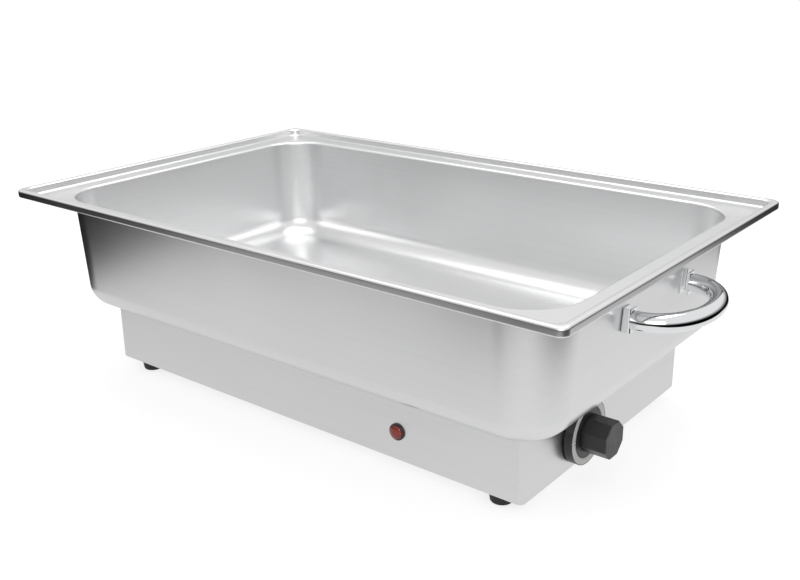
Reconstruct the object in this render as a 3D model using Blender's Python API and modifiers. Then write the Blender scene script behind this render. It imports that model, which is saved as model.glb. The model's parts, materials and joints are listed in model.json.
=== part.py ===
"""Electric chafing dish: a drawn water pan on a heated sheet-steel base, with a thermostat knob.

Metres, +Z up. The origin is on the table, under the middle of the dish. +X runs along the long
side, towards the knob, and -Y is the front, with the indicator lamp.
"""

import math

import bmesh
import bpy
from mathutils import Matrix, Vector

# Fits and fineness
GAP = 0.0003
OVERRUN = 0.004
WELD_DISTANCE = 0.000001
CORNER_STEPS = 8
SMALL_CORNER_STEPS = 4
BEND_STEPS = 2
FILLET_STEPS = 6
BOW_STEPS = 16
DIAL_SIDES = 32
ROUND_SIDES = 18
SMALL_SIDES = 8
SHARP_ANGLE = math.radians(32)

# Water pan: rim, ledge for the food pan, and the drawn body
RIM_LENGTH = 0.560
RIM_WIDTH = 0.360
RIM_HEIGHT = 0.176
RIM_CORNER = 0.007
PAN_SHEET = 0.001
SKIRT_DEPTH = 0.007
HEM_RADIUS = 0.0015
HEM_RETURN = 0.002
LIP_WIDTH = 0.006
LIP_BEND = 0.002
LIP_CORNER = 0.009
LEDGE_DEPTH = 0.0068
LEDGE_BEND = 0.0015
OPENING_LENGTH = 0.510
OPENING_WIDTH = 0.310
OPENING_BEND = 0.0025
PAN_CORNER = 0.042
PAN_FILLET = 0.0205
PAN_DRAFT = math.radians(3.24)

# Base housing and the cover that closes it from below
BASE_LENGTH = 0.446
BASE_WIDTH = 0.251
BASE_CORNER = 0.005
BASE_SHEET = 0.0009
BASE_BEND = 0.0015
BASE_FLANGE = 0.024
BASE_FLANGE_CORNER = 0.004
COVER_SHEET = 0.0008
COVER_INSET = 0.005
COVER_CORNER = 0.006
VENT_LENGTH = 0.036
VENT_WIDTH = 0.004
VENT_PITCH_X = 0.060
VENT_PITCH_Y = 0.014
VENT_COLUMNS = 5
VENT_ROWS = 4

# Rubber feet and the screws that hold them and the cover
FOOT_HEIGHT = 0.0090
FOOT_TOP_RADIUS = 0.010
FOOT_BOTTOM_RADIUS = 0.0085
FOOT_EDGE = 0.0018
FOOT_INSET_X = 0.026
FOOT_INSET_Y = 0.0145
FOOT_POCKET_RADIUS = 0.0048
FOOT_POCKET_DEPTH = 0.0045
COVER_SCREW_INSET = 0.012
SCREW_RADIUS = 0.002
SCREW_HEAD_RADIUS = 0.0038
SCREW_HEAD_HEIGHT = 0.0022
SCREW_REACH = 0.004
SCREW_CLEARANCE = 0.0004

# Heating: spreader, tubular element, insulation and tray, drawn up on studs welded to the pan
SPREADER_MARGIN = 0.010
SPREADER_THICKNESS = 0.0025
PLATE_CORNER = 0.010
ELEMENT_RADIUS = 0.00325
ELEMENT_PITCH = 0.030
ELEMENT_TURN = -0.110
ELEMENT_MIDDLE_TURN = 0.105
ELEMENT_END = 0.158
TERMINAL_RADIUS = 0.002
TERMINAL_LENGTH = 0.012
PAD_MARGIN = 0.003
PAD_THICKNESS = 0.006
TRAY_LENGTH = 0.300
TRAY_WIDTH = 0.140
TRAY_SHEET = 0.001
TRAY_LIP = 0.004
TRAY_BEND = 0.0018
STUD_RADIUS = 0.0025
STUD_TAIL = 0.0025
STUD_X = 0.070
NUT_FLATS = 0.008
NUT_HEIGHT = 0.004

# Thermostat behind the right-hand end wall, with its sensor under the pan
KNOB_Y = -0.0465
KNOB_Z = 0.039
THERMOSTAT_SIDE = 0.038
THERMOSTAT_DEPTH = 0.024
THERMOSTAT_EDGE = 0.002
SPINDLE_RADIUS = 0.003
SPINDLE_INSERT = 0.008
SPINDLE_RUNNING = 0.0002
SPINDLE_WALL_CLEARANCE = 0.0012
THERMOSTAT_SCREW_SPREAD = 0.028
BULB_RADIUS = 0.003
BULB_LENGTH = 0.080
BULB_X = 0.060
BULB_Y = -0.085
CAPILLARY_RADIUS = 0.0009
CAPILLARY_BEND = 0.012
CAPILLARY_LEAD = 0.014
CLIP_SHEET = 0.0008
CLIP_LENGTH = 0.014
CLIP_FLANGE = 0.008
CUTOUT_MARGIN = 0.020
CUTOUT_RADIUS = 0.0075
CUTOUT_HEIGHT = 0.009

# Knob: round dial skirt, printed ring and eight-sided grip
DIAL_RADIUS = 0.0255
DIAL_DEPTH = 0.0070
DIAL_WALL = 0.0018
DIAL_STAND_OFF = 0.0010
DIAL_CLEARANCE = 0.0013
RING_INNER_RADIUS = 0.0201
RING_THICKNESS = 0.0006
RING_MARGIN = 0.0004
GRIP_SIDES = 8
GRIP_RADIUS = 0.0149
GRIP_LENGTH = 0.0207
GRIP_EDGE = 0.0006
SPINDLE_END_DEPTH = 0.014

# Indicator lamp in the front wall
LAMP_X = 0.112
LAMP_Z = 0.0348
LAMP_FLANGE_RADIUS = 0.00675
LAMP_FLANGE_THICKNESS = 0.0014
LAMP_BARREL_RADIUS = 0.005
LAMP_LENGTH = 0.024
LAMP_RIM = 0.0011
LAMP_POCKET = 0.0030
LENS_DOME = 0.0019
LAMP_NUT_RADIUS = 0.008
LAMP_NUT_THICKNESS = 0.003

# Cord gland in the rear wall and the terminal block inside it
GLAND_X = 0.150
GLAND_Z = 0.038
GLAND_BORE = 0.0042
GLAND_THREAD_RADIUS = 0.0078
GLAND_FLANGE_RADIUS = 0.012
GLAND_FLANGE_THICKNESS = 0.0035
GLAND_NOSE_RADIUS = 0.0095
GLAND_NOSE_END_RADIUS = 0.0072
GLAND_NOSE_LENGTH = 0.015
GLAND_THREAD_LENGTH = 0.011
GLAND_NUT_FLATS = 0.022
GLAND_NUT_HEIGHT = 0.005
BLOCK_X = 0.106
BLOCK_Y = 0.073
BLOCK_LENGTH = 0.034
BLOCK_WIDTH = 0.022
BLOCK_HEIGHT = 0.016
BLOCK_POLE_PITCH = 0.010
BLOCK_SCREW_RADIUS = 0.0021
BLOCK_SCREW_DEPTH = 0.004

# Wiring in the base
WIRE_RADIUS = 0.0012
WIRE_BEND = 0.006
WIRE_LOW = 0.018
WIRE_CROSSING = 0.022
WIRE_HIGH = 0.030
WIRE_RUN_X = 0.184
WIRE_LEAD = 0.045

# Side handles and their folded brackets
HANDLE_DROP = 0.0398
HANDLE_RADIUS = 0.0070
HANDLE_SPREAD = 0.098
HANDLE_LEAD = 0.0015
HANDLE_REACH = 0.0500
BRACKET_DEPTH = 0.0070
BRACKET_HEIGHT = 0.0180
BRACKET_SHEET = 0.0012
BRACKET_BEND = 0.0018
BRACKET_SETBACK = 0.0020

# Levels and places that follow from the sizes above
LEDGE_Z = RIM_HEIGHT - LEDGE_DEPTH
HANDLE_Z = RIM_HEIGHT - HANDLE_DROP
UNDERSIDE_Z = KNOB_Z + DIAL_RADIUS + DIAL_CLEARANCE
FLOOR_Z = UNDERSIDE_Z + PAN_SHEET
COVER_LOW = FOOT_HEIGHT + GAP
COVER_HIGH = COVER_LOW + COVER_SHEET
BASE_LOW = COVER_HIGH + GAP
SPREADER_HIGH = UNDERSIDE_Z - GAP
SPREADER_LOW = SPREADER_HIGH - SPREADER_THICKNESS
ELEMENT_Z = SPREADER_LOW - GAP - ELEMENT_RADIUS
PAD_HIGH = ELEMENT_Z - ELEMENT_RADIUS - GAP
PAD_LOW = PAD_HIGH - PAD_THICKNESS
SPREADER_LENGTH = TRAY_LENGTH - 2 * SPREADER_MARGIN
SPREADER_WIDTH = TRAY_WIDTH - 2 * SPREADER_MARGIN
PAD_LENGTH = TRAY_LENGTH - 2 * (TRAY_SHEET + PAD_MARGIN)
PAD_WIDTH = TRAY_WIDTH - 2 * (TRAY_SHEET + PAD_MARGIN)
TRAY_FLOOR = PAD_LOW - GAP
TRAY_LOW = TRAY_FLOOR - TRAY_SHEET
NUT_HIGH = TRAY_LOW - GAP
STUD_LOW = NUT_HIGH - NUT_HEIGHT - STUD_TAIL
END_WALL_X = BASE_LENGTH / 2
FRONT_WALL_Y = -BASE_WIDTH / 2
REAR_WALL_Y = BASE_WIDTH / 2
THERMOSTAT_FACE_X = END_WALL_X - BASE_SHEET - GAP
THERMOSTAT_BACK_X = THERMOSTAT_FACE_X - THERMOSTAT_DEPTH
DIAL_BACK_X = END_WALL_X + DIAL_STAND_OFF
DIAL_FACE_X = DIAL_BACK_X + DIAL_DEPTH
GRIP_BACK_X = DIAL_FACE_X + GAP
CUTOUT_X = -TRAY_LENGTH / 2 - CUTOUT_MARGIN
CUTOUT_Z = UNDERSIDE_Z - GAP - CUTOUT_HEIGHT / 2
STUD_Y = ELEMENT_PITCH

# How a piece's own axis is turned in the dish
UP = Matrix.Identity(4)
DOWN = Matrix.Rotation(math.pi, 4, "X")
RIGHTWARD = Matrix.Rotation(math.pi / 2, 4, "Y")
FRONTWARD = Matrix.Rotation(math.pi / 2, 4, "X")
REARWARD = Matrix.Rotation(-math.pi / 2, 4, "X")


def clear_scene():
    for thing in list(bpy.data.objects):
        bpy.data.objects.remove(thing, do_unlink=True)


def new_collection(name):
    collection = bpy.data.collections.new(name)
    bpy.context.scene.collection.children.link(collection)
    return collection


def new_finish(name, colour, roughness, metallic):
    material = bpy.data.materials.new(name)
    material.use_nodes = True
    shader = material.node_tree.nodes["Principled BSDF"]
    shader.inputs["Base Color"].default_value = (*colour, 1)
    shader.inputs["Roughness"].default_value = roughness
    shader.inputs["Metallic"].default_value = metallic
    material.diffuse_color = (*colour, 1)
    return material


clear_scene()
PARTS = new_collection("electric_chafing_dish")
CUTTERS = new_collection("cutters")
SATIN_STEEL = new_finish("satin_steel", (0.74, 0.74, 0.75), 0.34, 1)
BRUSHED_STEEL = new_finish("brushed_steel", (0.70, 0.70, 0.71), 0.42, 1)
POLISHED_STEEL = new_finish("polished_steel", (0.86, 0.86, 0.87), 0.07, 1)
GALVANISED = new_finish("galvanised_steel", (0.55, 0.56, 0.58), 0.5, 1)
ALUMINIUM = new_finish("aluminium", (0.77, 0.77, 0.78), 0.4, 1)
ZINC = new_finish("zinc_plated_steel", (0.66, 0.66, 0.68), 0.35, 1)
ELEMENT_STEEL = new_finish("element_sheath", (0.23, 0.22, 0.21), 0.55, 1)
COPPER = new_finish("copper", (0.72, 0.36, 0.22), 0.35, 1)
MINERAL_WOOL = new_finish("mineral_wool", (0.78, 0.75, 0.68), 0.95, 0)
BLACK_PLASTIC = new_finish("black_plastic", (0.018, 0.018, 0.019), 0.42, 0)
GREY_PRINT = new_finish("grey_dial_print", (0.55, 0.55, 0.54), 0.45, 0)
RED_LENS = new_finish("red_lens", (0.30, 0.012, 0.008), 0.15, 0)
WHITE_CERAMIC = new_finish("white_ceramic", (0.82, 0.81, 0.77), 0.4, 0)
BLACK_RUBBER = new_finish("black_rubber", (0.015, 0.015, 0.015), 0.75, 0)
WIRE_SLEEVE = new_finish("wire_sleeve", (0.62, 0.60, 0.55), 0.6, 0)


def add_part(name, data, material, matrix=UP):
    part = bpy.data.objects.new(name, data)
    PARTS.objects.link(part)
    part.matrix_world = matrix
    if not data.materials:
        data.materials.append(material)
    return part


def add_cutter(name, mesh, matrix=UP):
    cutter = bpy.data.objects.new(name, mesh)
    CUTTERS.objects.link(cutter)
    cutter.matrix_world = matrix
    cutter.hide_render = True
    cutter.display_type = "WIRE"
    return cutter


def settle(part, material):
    """Makes the evaluated shape the part's own mesh, welded and smooth up to its sharp edges."""
    graph = bpy.context.evaluated_depsgraph_get()
    mesh = bpy.data.meshes.new_from_object(part.evaluated_get(graph))
    shape = bmesh.new()
    shape.from_mesh(mesh)
    bmesh.ops.remove_doubles(shape, verts=shape.verts, dist=WELD_DISTANCE)
    shape.to_mesh(mesh)
    shape.free()
    mesh.shade_smooth()
    mesh.set_sharp_from_angle(angle=SHARP_ANGLE)
    mesh.materials.clear()
    name, matrix = part.name, part.matrix_world.copy()
    old = part.data
    bpy.data.objects.remove(part, do_unlink=True)
    old.name = name + "_draft"
    mesh.name = name
    return add_part(name, mesh, material, matrix)


def cut(part, cutters):
    for cutter in cutters:
        modifier = part.modifiers.new(cutter.name, "BOOLEAN")
        modifier.operation = "DIFFERENCE"
        modifier.object = cutter


def arc(centre, radius, start, end, steps):
    """Points of an arc in a section, with its angles in degrees."""
    points = []
    for step in range(steps + 1):
        angle = math.radians(start + (end - start) * step / steps)
        points.append((centre[0] + radius * math.cos(angle), centre[1] + radius * math.sin(angle)))
    return points


def rounded_rectangle(half_x, half_y, radius, z=0, steps=SMALL_CORNER_STEPS):
    """A rounded rectangle's points, anticlockwise seen from above."""
    ring = []
    signs = ((1, 1), (-1, 1), (-1, -1), (1, -1))
    for quarter, (sign_x, sign_y) in enumerate(signs):
        middle = (sign_x * (half_x - radius), sign_y * (half_y - radius))
        for x, y in arc(middle, radius, 90 * quarter, 90 * quarter + 90, steps):
            ring.append((x, y, z))
    return ring


def hole(x, y, radius, sides=SMALL_SIDES):
    """The outline of a hole in a plate. Its facets clear the radius."""
    points = arc((x, y), corner_radius(radius, sides), 0, 360, sides)
    return [point + (0,) for point in points[:-1]]


def slot(x, y, length, width):
    straight = (length - width) / 2
    right = arc((x + straight, y), width / 2, -90, 90, BEND_STEPS)
    left = arc((x - straight, y), width / 2, 90, 270, BEND_STEPS)
    return [point + (0,) for point in right + left]


def loft(name, rings, first_cap=True, last_cap=True):
    """A skin over rings with as many points each. It faces outwards where the rings go up."""
    shape = bmesh.new()
    levels = [[shape.verts.new(point) for point in ring] for ring in rings]
    for low, high in zip(levels, levels[1:]):
        for i in range(len(low)):
            j = (i + 1) % len(low)
            shape.faces.new((low[i], low[j], high[j], high[i]))
    if first_cap:
        shape.faces.new(list(reversed(levels[0])))
    if last_cap:
        shape.faces.new(levels[-1])
    mesh = bpy.data.meshes.new(name)
    shape.to_mesh(mesh)
    shape.free()
    return mesh


def solidify(part, thickness):
    """Gives a skin its sheet thickness, on the side that it faces away from."""
    modifier = part.modifiers.new("sheet", "SOLIDIFY")
    modifier.thickness = thickness
    modifier.offset = -1
    modifier.use_even_offset = True
    return modifier


def cylinder_mesh(name, radius, length, sides=ROUND_SIDES, turn=0):
    """A cylinder or prism standing on its own origin."""
    shape = bmesh.new()
    bmesh.ops.create_cone(
        shape, cap_ends=True, segments=sides, radius1=radius, radius2=radius, depth=length
    )
    place = Matrix.Translation((0, 0, length / 2)) @ Matrix.Rotation(turn, 4, "Z")
    bmesh.ops.transform(shape, matrix=place, verts=shape.verts)
    mesh = bpy.data.meshes.new(name)
    shape.to_mesh(mesh)
    shape.free()
    return mesh


def corner_radius(inner, sides):
    """The corner radius of a prism whose flat sides lie that far from its axis."""
    return inner / math.cos(math.pi / sides)


def drill(name, place, turn, radius, length, sides=ROUND_SIDES):
    """A cutter that starts at place and runs along the turned axis. Its facets clear the radius."""
    matrix = Matrix.Translation(place) @ turn
    mesh = cylinder_mesh(name, corner_radius(radius, sides), length, sides)
    return add_cutter(name, mesh, matrix)


def box_mesh(name, low, high):
    shape = bmesh.new()
    bmesh.ops.create_cube(shape, size=1)
    middle = (Vector(low) + Vector(high)) / 2
    size = Vector(high) - Vector(low)
    matrix = Matrix.Translation(middle) @ Matrix.Diagonal((*size, 1))
    bmesh.ops.transform(shape, matrix=matrix, verts=shape.verts)
    mesh = bpy.data.meshes.new(name)
    shape.to_mesh(mesh)
    shape.free()
    return mesh


def turned(name, section, place, turn, material, sides=ROUND_SIDES):
    """A turned piece from its section of (radius, height), outer side from top to bottom."""
    mesh = bpy.data.meshes.new(name)
    points = [(radius, 0, height) for radius, height in section]
    closed = section[0][0] > 0 and section[-1][0] > 0
    edges = [(i, i + 1) for i in range(len(points) - 1)]
    if closed:
        edges.append((len(points) - 1, 0))
    mesh.from_pydata(points, edges, [])
    part = add_part(name, mesh, material, Matrix.Translation(place) @ turn)
    modifier = part.modifiers.new("turn", "SCREW")
    modifier.steps = sides
    modifier.render_steps = sides
    modifier.use_merge_vertices = True
    modifier.merge_threshold = WELD_DISTANCE
    return settle(part, material)


def plate(name, outlines, low, high, material):
    """A flat sheet between two heights, from its outline and its holes."""
    curve = bpy.data.curves.new(name, "CURVE")
    curve.dimensions = "2D"
    curve.fill_mode = "BOTH"
    curve.extrude = (high - low) / 2
    for outline in outlines:
        spline = curve.splines.new("POLY")
        spline.points.add(len(outline) - 1)
        spline.use_cyclic_u = True
        for point, place in zip(spline.points, outline):
            point.co = (place[0], place[1], 0, 1)
    matrix = Matrix.Translation((0, 0, (low + high) / 2))
    return settle(add_part(name, curve, material, matrix), material)


def rounded_path(corners, radius, steps=BEND_STEPS):
    """A route through corners, each bent to the radius or to what its two legs leave room for."""
    corners = [Vector(corner) for corner in corners]
    path = [corners[0]]
    for before, corner, after in zip(corners, corners[1:], corners[2:]):
        back = (before - corner).normalized()
        onward = (after - corner).normalized()
        half_angle = back.angle(onward) / 2
        room = min((before - corner).length, (after - corner).length) / 2
        reach = min(radius / math.tan(half_angle), room)
        bend = reach * math.tan(half_angle)
        bisector = (back + onward).normalized()
        centre = corner + bisector * (bend / math.sin(half_angle))
        start = (corner + back * reach - centre).normalized()
        end = (corner + onward * reach - centre).normalized()
        for step in range(steps + 1):
            path.append(centre + start.slerp(end, step / steps) * bend)
    path.append(corners[-1])
    return path


def tube(name, path, radius, material, resolution):
    curve = bpy.data.curves.new(name, "CURVE")
    curve.dimensions = "3D"
    curve.bevel_depth = radius
    curve.bevel_resolution = resolution
    curve.use_fill_caps = True
    spline = curve.splines.new("POLY")
    spline.points.add(len(path) - 1)
    for point, place in zip(spline.points, path):
        point.co = (*place, 1)
    return settle(add_part(name, curve, material), material)


def ribbon(name, path, length, sheet, matrix, material, cutters=()):
    """A bent strip: a path in its own XY plane, raised along its own Z and given thickness."""
    shape = bmesh.new()
    low = [shape.verts.new((x, y, -length / 2)) for x, y in path]
    high = [shape.verts.new((x, y, length / 2)) for x, y in path]
    for i in range(len(path) - 1):
        shape.faces.new((low[i], low[i + 1], high[i + 1], high[i]))
    mesh = bpy.data.meshes.new(name)
    shape.to_mesh(mesh)
    shape.free()
    part = add_part(name, mesh, material, matrix)
    solidify(part, sheet)
    cut(part, cutters)
    return settle(part, material)


def screw(name, place, turn, reach, material):
    """A pan-head screw: its place is under the head, and its own +Z is where the head faces."""
    head, height, shank = SCREW_HEAD_RADIUS, SCREW_HEAD_HEIGHT, SCREW_RADIUS
    crown = [(0, height), (head / 2, height), (head * 5 / 6, height * 5 / 6), (head, height / 2)]
    section = crown + [(head, 0), (shank, 0), (shank, shank - reach), (shank / 2, -reach), (0, -reach)]
    return turned(name, section, place, turn, material, SMALL_SIDES)


# Water pan


def rim_ring(inset, z, corner):
    half_x = RIM_LENGTH / 2 - inset
    half_y = RIM_WIDTH / 2 - inset
    return rounded_rectangle(half_x, half_y, corner, z, CORNER_STEPS)


def rim_rings():
    """Rings over the hem, skirt, lip and ledge, in the order that the sheet runs."""
    hem = RIM_HEIGHT - SKIRT_DEPTH
    hem_steps = 2 * BEND_STEPS
    curl = [(2 * HEM_RADIUS, hem + HEM_RADIUS + HEM_RETURN)]
    curl += arc((HEM_RADIUS, hem + HEM_RADIUS), HEM_RADIUS, 0, -180, hem_steps)
    lip = arc((LIP_BEND, RIM_HEIGHT - LIP_BEND), LIP_BEND, 180, 90, BEND_STEPS)
    lip += arc((LIP_WIDTH - LIP_BEND, RIM_HEIGHT - LIP_BEND), LIP_BEND, 90, 0, BEND_STEPS)
    lip += arc((LIP_WIDTH + LEDGE_BEND, LEDGE_Z + LEDGE_BEND), LEDGE_BEND, 180, 270, BEND_STEPS)
    rings = []
    for inset, z in curl:
        rings.append(rim_ring(inset, z, max(RIM_CORNER - inset, HEM_RADIUS)))
    for inset, z in lip:
        share = min(inset / LIP_WIDTH, 1)
        rings.append(rim_ring(inset, z, RIM_CORNER + (LIP_CORNER - RIM_CORNER) * share))
    return rings


def body_ring(inward, z):
    """A ring of the drawn body, inward of the opening. Its corners share their centres."""
    half_x = OPENING_LENGTH / 2 - inward
    half_y = OPENING_WIDTH / 2 - inward
    return rounded_rectangle(half_x, half_y, PAN_CORNER - inward, z, CORNER_STEPS)


def wall_inward(z, outside=0):
    """How far in from the opening the leaning wall is at a height, on a face set outside it."""
    return ((LEDGE_Z - z) * math.sin(PAN_DRAFT) - outside) / math.cos(PAN_DRAFT)


def opening_bend_rings():
    lean = math.degrees(PAN_DRAFT)
    inward = -OPENING_BEND * (1 - math.sin(PAN_DRAFT)) / math.cos(PAN_DRAFT)
    bend = arc((inward, LEDGE_Z - OPENING_BEND), OPENING_BEND, 90, lean, BEND_STEPS)
    return [body_ring(*point) for point in bend]


def fillet_rings(outside=0):
    lean = math.degrees(PAN_DRAFT)
    centre_z = FLOOR_Z + PAN_FILLET
    inward = wall_inward(centre_z) + PAN_FILLET / math.cos(PAN_DRAFT)
    bend = arc((inward, centre_z), PAN_FILLET + outside, 180 + lean, 270, FILLET_STEPS)
    return [body_ring(*point) for point in bend]


def make_water_pan():
    rings = rim_rings() + opening_bend_rings() + fillet_rings()
    mesh = loft("water_pan", rings, first_cap=False)
    part = add_part("water_pan", mesh, SATIN_STEEL)
    solidify(part, PAN_SHEET)
    return settle(part, SATIN_STEEL)


def pan_space():
    """The room that the drawn body takes, with its gap, to cut what fits against it."""
    outside = PAN_SHEET + GAP
    top = body_ring(wall_inward(LEDGE_Z, outside), LEDGE_Z)
    rings = list(reversed(fillet_rings(outside))) + [top]
    return add_cutter("pan_space", loft("pan_space", rings))


# Base housing and bottom cover


def foot_places():
    x = BASE_LENGTH / 2 - FOOT_INSET_X
    y = BASE_WIDTH / 2 - FOOT_INSET_Y
    return [(x, -y), (x, y), (-x, y), (-x, -y)]


def cover_screw_places():
    x = BASE_LENGTH / 2 - COVER_SCREW_INSET
    y = BASE_WIDTH / 2 - COVER_SCREW_INSET
    return [(x, 0), (0, y), (-x, 0), (0, -y)]


def base_rings():
    """Rings from the inner edge of the bottom flange, out and up the wall."""
    half_x, half_y = BASE_LENGTH / 2, BASE_WIDTH / 2
    flange = rounded_rectangle(
        half_x - BASE_FLANGE, half_y - BASE_FLANGE, BASE_FLANGE_CORNER, BASE_LOW
    )
    rings = [flange]
    for inset, z in arc((BASE_BEND, BASE_LOW + BASE_BEND), BASE_BEND, 270, 180, BEND_STEPS):
        rings.append(rounded_rectangle(half_x - inset, half_y - inset, BASE_CORNER - inset, z))
    rings.append(rounded_rectangle(half_x, half_y, BASE_CORNER, FLOOR_Z + PAN_FILLET / 2))
    return rings


def base_holes():
    """Drills for the spindle, its two screws, the lamp, the gland and the flange's screws."""
    end = END_WALL_X - BASE_FLANGE / 2
    length = BASE_FLANGE
    clear = SCREW_RADIUS + SCREW_CLEARANCE
    spindle_hole = SPINDLE_RADIUS + SPINDLE_WALL_CLEARANCE
    drills = [drill("spindle_hole", (end, KNOB_Y, KNOB_Z), RIGHTWARD, spindle_hole, length)]
    for number, z in enumerate(thermostat_screw_heights(), 1):
        name = f"thermostat_screw_hole_{number}"
        drills.append(drill(name, (end, KNOB_Y, z), RIGHTWARD, clear, length, SMALL_SIDES))
    lamp_start = (LAMP_X, FRONT_WALL_Y + BASE_FLANGE / 2, LAMP_Z)
    drills.append(drill("lamp_hole", lamp_start, FRONTWARD, LAMP_BARREL_RADIUS + GAP, length))
    gland_start = (GLAND_X, REAR_WALL_Y - BASE_FLANGE / 2, GLAND_Z)
    drills.append(drill("gland_hole", gland_start, REARWARD, GLAND_THREAD_RADIUS + GAP, length))
    for number, (x, y) in enumerate(foot_places() + cover_screw_places(), 1):
        name = f"flange_hole_{number}"
        start = (x, y, BASE_LOW - OVERRUN)
        drills.append(drill(name, start, UP, clear, 2 * OVERRUN, SMALL_SIDES))
    return drills


def make_base_housing(pan_cutter):
    mesh = loft("base_housing", base_rings(), first_cap=False, last_cap=False)
    part = add_part("base_housing", mesh, BRUSHED_STEEL)
    solidify(part, BASE_SHEET)
    cut(part, [pan_cutter] + base_holes())
    return settle(part, BRUSHED_STEEL)


def vent_slots():
    slots = []
    for column in range(VENT_COLUMNS):
        x = (column - (VENT_COLUMNS - 1) / 2) * VENT_PITCH_X
        for row in range(VENT_ROWS):
            y = (row - (VENT_ROWS - 1) / 2) * VENT_PITCH_Y
            slots.append(slot(x, y, VENT_LENGTH, VENT_WIDTH))
    return slots


def make_bottom_cover():
    half_x = BASE_LENGTH / 2 - COVER_INSET
    half_y = BASE_WIDTH / 2 - COVER_INSET
    outlines = [rounded_rectangle(half_x, half_y, COVER_CORNER)]
    for x, y in foot_places() + cover_screw_places():
        outlines.append(hole(x, y, SCREW_RADIUS + SCREW_CLEARANCE))
    return plate("bottom_cover", outlines + vent_slots(), COVER_LOW, COVER_HIGH, GALVANISED)


# Feet


def make_foot(number, x, y):
    bore = SCREW_RADIUS + SCREW_CLEARANCE
    rounded_edge = arc((FOOT_BOTTOM_RADIUS - FOOT_EDGE, FOOT_EDGE), FOOT_EDGE, 0, -90, BEND_STEPS)
    section = [(bore, FOOT_HEIGHT), (FOOT_TOP_RADIUS, FOOT_HEIGHT)]
    section += rounded_edge
    section += [(FOOT_POCKET_RADIUS, 0), (FOOT_POCKET_RADIUS, FOOT_POCKET_DEPTH)]
    section += [(bore, FOOT_POCKET_DEPTH)]
    turned(f"foot_{number}", section, (x, y, 0), UP, BLACK_RUBBER)


def make_foot_screw(number, x, y):
    seat = FOOT_POCKET_DEPTH - GAP
    reach = BASE_LOW + BASE_SHEET + SCREW_REACH - seat
    screw(f"foot_screw_{number}", (x, y, seat), DOWN, reach, ZINC)


def make_cover_screw(number, x, y):
    seat = COVER_LOW - GAP
    reach = BASE_LOW + BASE_SHEET + SCREW_REACH - seat
    screw(f"cover_screw_{number}", (x, y, seat), DOWN, reach, ZINC)


# Heating


def stud_places():
    return [(STUD_X, -STUD_Y), (STUD_X, STUD_Y), (-STUD_X, STUD_Y), (-STUD_X, -STUD_Y)]


def stud_holes():
    return [hole(x, y, STUD_RADIUS + SCREW_CLEARANCE) for x, y in stud_places()]


def make_heat_spreader():
    outline = rounded_rectangle(SPREADER_LENGTH / 2, SPREADER_WIDTH / 2, PLATE_CORNER)
    plate("heat_spreader", [outline] + stud_holes(), SPREADER_LOW, SPREADER_HIGH, ALUMINIUM)


def make_insulation_pad():
    outline = rounded_rectangle(PAD_LENGTH / 2, PAD_WIDTH / 2, PLATE_CORNER)
    plate("insulation_pad", [outline] + stud_holes(), PAD_LOW, PAD_HIGH, MINERAL_WOOL)


def element_rows():
    return [(row - 1.5) * ELEMENT_PITCH for row in range(4)]


def make_heating_element():
    """Four runs joined by three U-turns, with both ends at the thermostat's side."""
    rows = element_rows()
    radius = ELEMENT_PITCH / 2
    steps = 2 * BEND_STEPS
    path = [(ELEMENT_END, rows[0])]
    path += arc((ELEMENT_TURN, rows[0] + radius), radius, 270, 90, steps)
    path += arc((ELEMENT_MIDDLE_TURN, rows[1] + radius), radius, -90, 90, steps)
    path += arc((ELEMENT_TURN, rows[2] + radius), radius, 270, 90, steps)
    path.append((ELEMENT_END, rows[3]))
    route = [(x, y, ELEMENT_Z) for x, y in path]
    tube("heating_element", route, ELEMENT_RADIUS, ELEMENT_STEEL, 2)


def make_element_terminal(number, y):
    mesh = cylinder_mesh("terminal", TERMINAL_RADIUS, TERMINAL_LENGTH, SMALL_SIDES)
    place = (ELEMENT_END + GAP, y, ELEMENT_Z)
    part = add_part(f"element_terminal_{number}", mesh, ZINC, Matrix.Translation(place) @ RIGHTWARD)
    settle(part, ZINC)


def make_pressure_tray():
    """A shallow tray with its edge turned up round the insulation."""
    half_x, half_y = TRAY_LENGTH / 2, TRAY_WIDTH / 2
    rim = TRAY_LOW + TRAY_SHEET + TRAY_LIP
    rings = []
    for inset, z in arc((TRAY_BEND, TRAY_LOW + TRAY_BEND), TRAY_BEND, 270, 180, BEND_STEPS):
        rings.append(rounded_rectangle(half_x - inset, half_y - inset, PLATE_CORNER - inset, z))
    rings.append(rounded_rectangle(half_x, half_y, PLATE_CORNER, rim))
    part = add_part("pressure_tray", loft("pressure_tray", rings, last_cap=False), GALVANISED)
    solidify(part, TRAY_SHEET)
    drills = []
    for number, (x, y) in enumerate(stud_places(), 1):
        start = (x, y, TRAY_LOW - OVERRUN)
        radius = STUD_RADIUS + SCREW_CLEARANCE
        drills.append(drill(f"tray_hole_{number}", start, UP, radius, 2 * OVERRUN, SMALL_SIDES))
    cut(part, drills)
    settle(part, GALVANISED)


def make_stud(number, x, y):
    length = SPREADER_HIGH - STUD_LOW
    mesh = cylinder_mesh("stud", STUD_RADIUS, length, SMALL_SIDES)
    place = Matrix.Translation((x, y, STUD_LOW))
    settle(add_part(f"weld_stud_{number}", mesh, ZINC, place), ZINC)


def make_nut(name, place, turn, flats, height, thread, material, sides=SMALL_SIDES):
    """A six-sided nut that starts at its place and stands along the turned axis."""
    matrix = Matrix.Translation(place) @ turn
    mesh = cylinder_mesh(name, corner_radius(flats / 2, 6), height, 6)
    part = add_part(name, mesh, material, matrix)
    start = matrix @ Vector((0, 0, -OVERRUN))
    length = height + 2 * OVERRUN
    cut(part, [drill(name + "_thread", start, turn, thread + GAP, length, sides)])
    settle(part, material)


# Thermostat and safety cut-out


def thermostat_screw_heights():
    return [KNOB_Z - THERMOSTAT_SCREW_SPREAD / 2, KNOB_Z + THERMOSTAT_SCREW_SPREAD / 2]


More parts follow.
